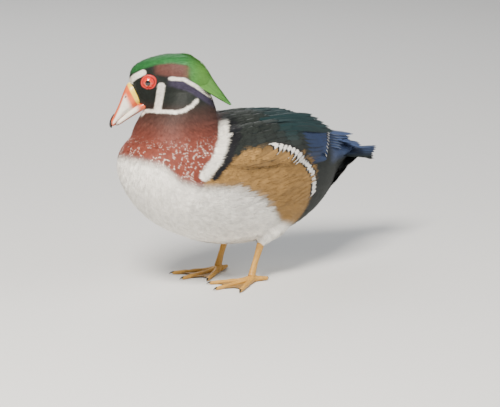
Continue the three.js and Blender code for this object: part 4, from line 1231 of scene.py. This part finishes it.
for word, side in (("left", -1), ("right", 1)):
    look = Matrix.Rotation(math.radians(EYE_TURN * side), 3, "Z")
    ball = bmesh.new()
    bmesh.ops.create_uvsphere(ball, u_segments=64, v_segments=48, radius=EYE_RADIUS)
    bmesh.ops.rotate(ball, verts=ball.verts, matrix=upright)
    local = np.array([v.co for v in ball.verts])
    from_middle = np.hypot(local[:, 0], local[:, 2])
    from_middle = np.where(local[:, 1] * side > 0, from_middle, EYE_RADIUS)
    bulge = np.clip(1 - from_middle / CORNEA_RADIUS, 0, 1) * CORNEA_RISE
    for vertex, high in zip(ball.verts, bulge):
        vertex.co.y += side * high
    bmesh.ops.rotate(ball, verts=ball.verts, matrix=look)
    bmesh.ops.translate(ball, vec=(0, side * EYE_SIDE, 0), verts=ball.verts)
    rim = bmesh.new()
    around = bmesh.ops.create_circle(rim, segments=20, radius=LID_THICK)["verts"]
    bmesh.ops.rotate(rim, verts=around, matrix=upright)
    bmesh.ops.translate(rim, vec=(LID_RADIUS, 0, 0), verts=around)
    swept = rim.verts[:] + rim.edges[:]
    bmesh.ops.spin(rim, geom=swept, axis=(0, 0, 1), cent=(0, 0, 0), angle=math.tau, steps=72, use_merge=True)
    bmesh.ops.rotate(rim, verts=rim.verts, matrix=upright)
    for vertex in rim.verts:
        turn = math.atan2(vertex.co.z, vertex.co.x)
        vertex.co *= 1 + 0.012 * math.sin(turn * LID_FOLDS) - 0.05 * abs(math.sin(turn)) ** 3
        vertex.co.x *= 1 + 0.08 * abs(math.cos(turn)) ** 6
    bmesh.ops.rotate(rim, verts=rim.verts, matrix=look)
    bmesh.ops.translate(rim, vec=(-0.5, side * LID_SIDE, 0), verts=rim.verts)
    for shape in (ball, rim):
        bmesh.ops.recalc_face_normals(shape, faces=shape.faces)
        put_in_order(shape)
    eye = built(f"eye_ball_{word}", ball, BIRD_PLACE @ HEAD_PLACE)
    lid = built(f"eye_lid_{word}", rim, BIRD_PLACE @ HEAD_PLACE)
    turns = np.abs(np.arctan2(local[:, 2], local[:, 0]))
    store(eye.data, "eye_place", np.column_stack([from_middle, turns, np.zeros(len(turns))]))
    for piece, finish in ((eye, eye_wet), (lid, lid_skin)):
        piece.data.materials.append(finish)
        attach(piece, "root")
    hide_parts(f"eye_{word}")


# Legs: bare shanks with a row of broad scutes down the front, and webbed feet. Each foot has three
# toes joined by two thin webs, a short free hind toe, and small dark claws. They stand on the floor.
TOE_LENGTH = 50
TOES = ((0, 1.0), (31, 0.94), (-31, 0.86))
WEB_REACH = 0.86
WEB_HOLLOW = 0.62
WEB_HEIGHT = 1.35
HIND_TOE = 15
SHANK_ROWS = [
    (12, 0, 35.5, 2, 2, 2), (11.2, 0, 33.5, 3.1, 3.4, 3.4), (8.5, 0, 27, 2.7, 3.1, 3.1),
    (4.5, 0, 18, 2.3, 2.8, 2.8), (1, 0, 9, 2.9, 3.2, 3.2), (0, 0, 6, 3.2, 3.3, 3.3), (-0.6, 0, 4, 2, 2, 2),
]
TOE_START = [(3, 0, 4, 0, 0, 0), (1, 0, 3.8, 3.2, 2.8, 4.2)]
TOE_REST = [
    (0.2, 0, 2.4, 2.5, 2.2, 2.8), (0.32, 0, 2.2, 2.2, 1.9, 2.3), (0.45, 0, 2.0, 2.5, 2.1, 2.2),
    (0.58, 0, 1.8, 1.9, 1.7, 2.0), (0.7, 0, 1.7, 2.0, 1.8, 1.9), (0.82, 0, 1.6, 1.6, 1.5, 1.7),
    (0.9, 0, 1.6, 1.3, 1.3, 1.5), (0.94, 0, 1.5, 0, 0, 0),
]
CLAW = [
    (0.85, 0, 2.1, 0, 0, 0), (0.87, 0, 2.2, 1.0, 0.9, 0.9), (0.92, 0, 2.2, 0.9, 0.9, 0.8),
    (0.97, 0, 1.5, 0.5, 0.55, 0.5), (1, 0, 0.5, 0, 0, 0),
]


def scuted(verts, along, pitch, depth, face):
    """Pushes the front or top of a limb out in a row of overlapping plates."""
    for vertex in verts:
        spot = vertex.co[along] / pitch
        facing = max(0.0, vertex.normal.dot(Vector(face)))
        vertex.co += vertex.normal * depth * facing ** 0.5 * (1 - (spot % 1.0)) ** 0.5


def toe(bm, length, rings, sides, pitch, depth):
    """One toe that points forward from the ankle, with scutes on top, and its claw."""
    rows = TOE_START + [(-length * share, *rest) for share, *rest in TOE_REST]
    ring = loft(bm, rows, rings[0], sides, up=(0, 0, 1))
    bm.normal_update()
    scuted(ring, 0, pitch, depth, (0, 0, 1))
    claw = loft(bm, [(-length * share, *rest) for share, *rest in CLAW], rings[1], 10, up=(0, 0, 1))
    return ring, claw


def web_sheet(bm, first, second, hand):
    """A thin web between two toes, with a hollow free edge and low folds that run out from the ankle."""
    steps = 26
    ways = 20
    turns = [math.radians(first[0] * hand), math.radians(second[0] * hand)]
    layers = []
    for lift in (0.45, -0.45):
        grid = []
        for i in range(steps + 1):
            row = []
            for j in range(ways + 1):
                t = j / ways
                turn = turns[0] * (1 - t) + turns[1] * t
                length = TOE_LENGTH * (first[1] * (1 - t) + second[1] * t)
                reach = WEB_REACH - (WEB_REACH - WEB_HOLLOW) * (4 * t * (1 - t)) ** 0.8
                out = length * reach * i / steps
                fold = 0.22 * math.sin(t * 19) * math.sin(math.pi * t) * (i / steps)
                edge = 0.25 if i == steps else 1.0
                height = WEB_HEIGHT + fold + lift * edge
                row.append(bm.verts.new((-math.cos(turn) * out, -math.sin(turn) * out, height)))
            grid.append(row)
        layers.append(grid)
    for grid, flip in ((layers[0], False), (layers[1], True)):
        for i in range(steps):
            for j in range(ways):
                corners = [grid[i][j], grid[i + 1][j], grid[i + 1][j + 1], grid[i][j + 1]]
                bm.faces.new(corners[::-1] if flip else corners)
    upper, lower = (grid[steps] for grid in layers)
    for j in range(ways):
        bm.faces.new([upper[j], lower[j], lower[j + 1], upper[j + 1]])
    return [v for grid in layers for row in grid for v in row]


def leg_piece(name, word, build):
    """One piece of a leg, built around its ankle in millimetres and set under the bird."""
    bm = bmesh.new()
    tone = build(bm)
    x, y = FEET[word]
    for vertex in bm.verts:
        vertex.co.z = max(vertex.co.z, 0.02)
    bmesh.ops.recalc_face_normals(bm, faces=bm.faces)
    bm.verts.index_update()
    piece = built(name, bm, BIRD_PLACE @ Matrix.Translation((x, y, 0)))
    store(piece.data, "leg_tone", tone)
    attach(piece, "root")
    return piece


def build_shank(bm):
    ring = loft(bm, SHANK_ROWS, 60, 24)
    bm.normal_update()
    scuted(ring, 2, 2.3, 0.42, (-1, 0, 0.1))
    return [0.0] * len(bm.verts)


def foot_builder(hand):
    """Gives the function that builds one side's foot and returns each point's tone: skin, web or claw."""
    def build(bm):
        tone = []
        for turn, share in TOES:
            ring, claw = toe(bm, TOE_LENGTH * share, (70, 14), 16, 1.5, 0.3)
            bmesh.ops.rotate(bm, verts=ring + claw, matrix=Matrix.Rotation(math.radians(turn * hand), 3, "Z"))
            tone += [0.0] * len(ring) + [1.0] * len(claw)
        for second in TOES[1:]:
            tone += [0.5] * len(web_sheet(bm, TOES[0], second, hand))
        ring, claw = toe(bm, HIND_TOE, (30, 12), 14, 1.3, 0.2)
        bmesh.ops.rotate(bm, verts=ring + claw, matrix=Matrix.Rotation(math.pi - hand * 0.35, 3, "Z"))
        bmesh.ops.translate(bm, verts=ring + claw, vec=(3, 0, 0.6))
        return tone + [0.0] * len(ring) + [1.0] * len(claw)
    return build


LEG_YELLOWS = ((0.42, 0.20, 0.035), (0.78, 0.43, 0.08))
WEB_BROWN = (0.20, 0.12, 0.05)
CLAW_BLACK = (0.02, 0.015, 0.012)
leg_skin, tree, shader = new_material("leg_scales")
scales = texture(tree, "ShaderNodeTexVoronoi", Scale=1150.0, Randomness=0.55)["Distance"]
dirt = texture(tree, "ShaderNodeTexNoise", Scale=75.0, Detail=5.0)["Fac"]
tone = attribute(tree, "leg_tone").outputs["Fac"]
colour = mix_colour(tree, dirt, *LEG_YELLOWS)
off_web = math_node(tree, "ABSOLUTE", math_node(tree, "SUBTRACT", tone, 0.5))
web = rising(tree, off_web, 0.25, 0.0)
colour = mix_colour(tree, math_node(tree, "MULTIPLY", web, 0.72), colour, WEB_BROWN)
colour = mix_colour(tree, math_node(tree, "GREATER_THAN", tone, 0.8), colour, CLAW_BLACK)
seam = math_node(tree, "MULTIPLY_ADD", scales, -0.5, 1.12)
tree.links.new(mix_colour(tree, 1.0, colour, seam, "MULTIPLY"), shader.inputs["Base Color"])
tree.links.new(math_node(tree, "MULTIPLY_ADD", dirt, 0.3, 0.34), shader.inputs["Roughness"])
relief(tree, shader, scales, 0.35, 0.0003, invert=True)
for word, hand in (("left", 1), ("right", -1)):
    shank = leg_piece(f"shank_skin_{word}", word, build_shank)
    foot = leg_piece(f"foot_skin_{word}", word, foot_builder(hand))
    shank.data.materials.append(leg_skin)
    foot.data.materials.append(leg_skin)
    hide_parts(f"shank_{word}")
    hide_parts(f"foot_{word}")


# Studio: a plain pale floor, soft lamps and the camera at the photo's angle.
FLOOR_HALF = 6.0
FLOOR_GREY = (0.72, 0.72, 0.71, 1)
SKY = (0.82, 0.85, 0.9, 1)
SKY_STRENGTH = 0.30
floor_shape = bmesh.new()
bmesh.ops.create_grid(floor_shape, x_segments=1, y_segments=1, size=FLOOR_HALF)
floor = built("floor", floor_shape, Matrix.Identity(4))
floor_paint, _, shader = new_material("studio_floor")
set_inputs(shader, Base_Color=FLOOR_GREY, Roughness=0.9)
floor.data.materials.append(floor_paint)

world = bpy.data.worlds.new("studio")
bpy.context.scene.world = world
world.use_nodes = True
set_inputs(world.node_tree.nodes["Background"], Color=SKY, Strength=SKY_STRENGTH)
LAMP_AIM = Vector((0, 0, 0.1))

# Each lamp has its place, its width in metres, its power in watts and its tint.
LAMPS = {
    "key_lamp": ((-1.2, -0.6, 1.4), 0.6, 80.0, (1.0, 0.94, 0.86)),
    "fill_lamp": ((0.9, -1.4, 0.9), 1.4, 12.0, (0.92, 0.96, 1.0)),
    "back_lamp": ((0.5, 1.3, 1.2), 1.2, 14.0, (1.0, 1.0, 1.0)),
}
for name, (spot, size, power, tint) in LAMPS.items():
    light = bpy.data.lights.new(name, "AREA")
    light.size = size
    light.energy = power
    light.color = tint
    lamp = in_scene(name, light)
    lamp.location = spot
    lamp.rotation_euler = (LAMP_AIM - Vector(spot)).to_track_quat("-Z", "Y").to_euler()

VIEW_DISTANCE = 3.5
VIEW_WIDTH = 0.46
SENSOR = 36.0
VIEW_AZIMUTH, VIEW_ELEVATION = math.radians(-45), math.radians(12)
AIM = Vector((0.0237 + SHIFT, -0.0039, 0.0661))
back = Vector((
    math.sin(VIEW_AZIMUTH) * math.cos(VIEW_ELEVATION),
    -math.cos(VIEW_AZIMUTH) * math.cos(VIEW_ELEVATION),
    math.sin(VIEW_ELEVATION),
))
view = bpy.data.cameras.new("view")
view.sensor_width = SENSOR
view.lens = SENSOR * VIEW_DISTANCE / VIEW_WIDTH
camera = in_scene("view", view)
camera.location = AIM + back * VIEW_DISTANCE
camera.rotation_euler = (-back).to_track_quat("-Z", "Y").to_euler()
bpy.context.scene.camera = camera
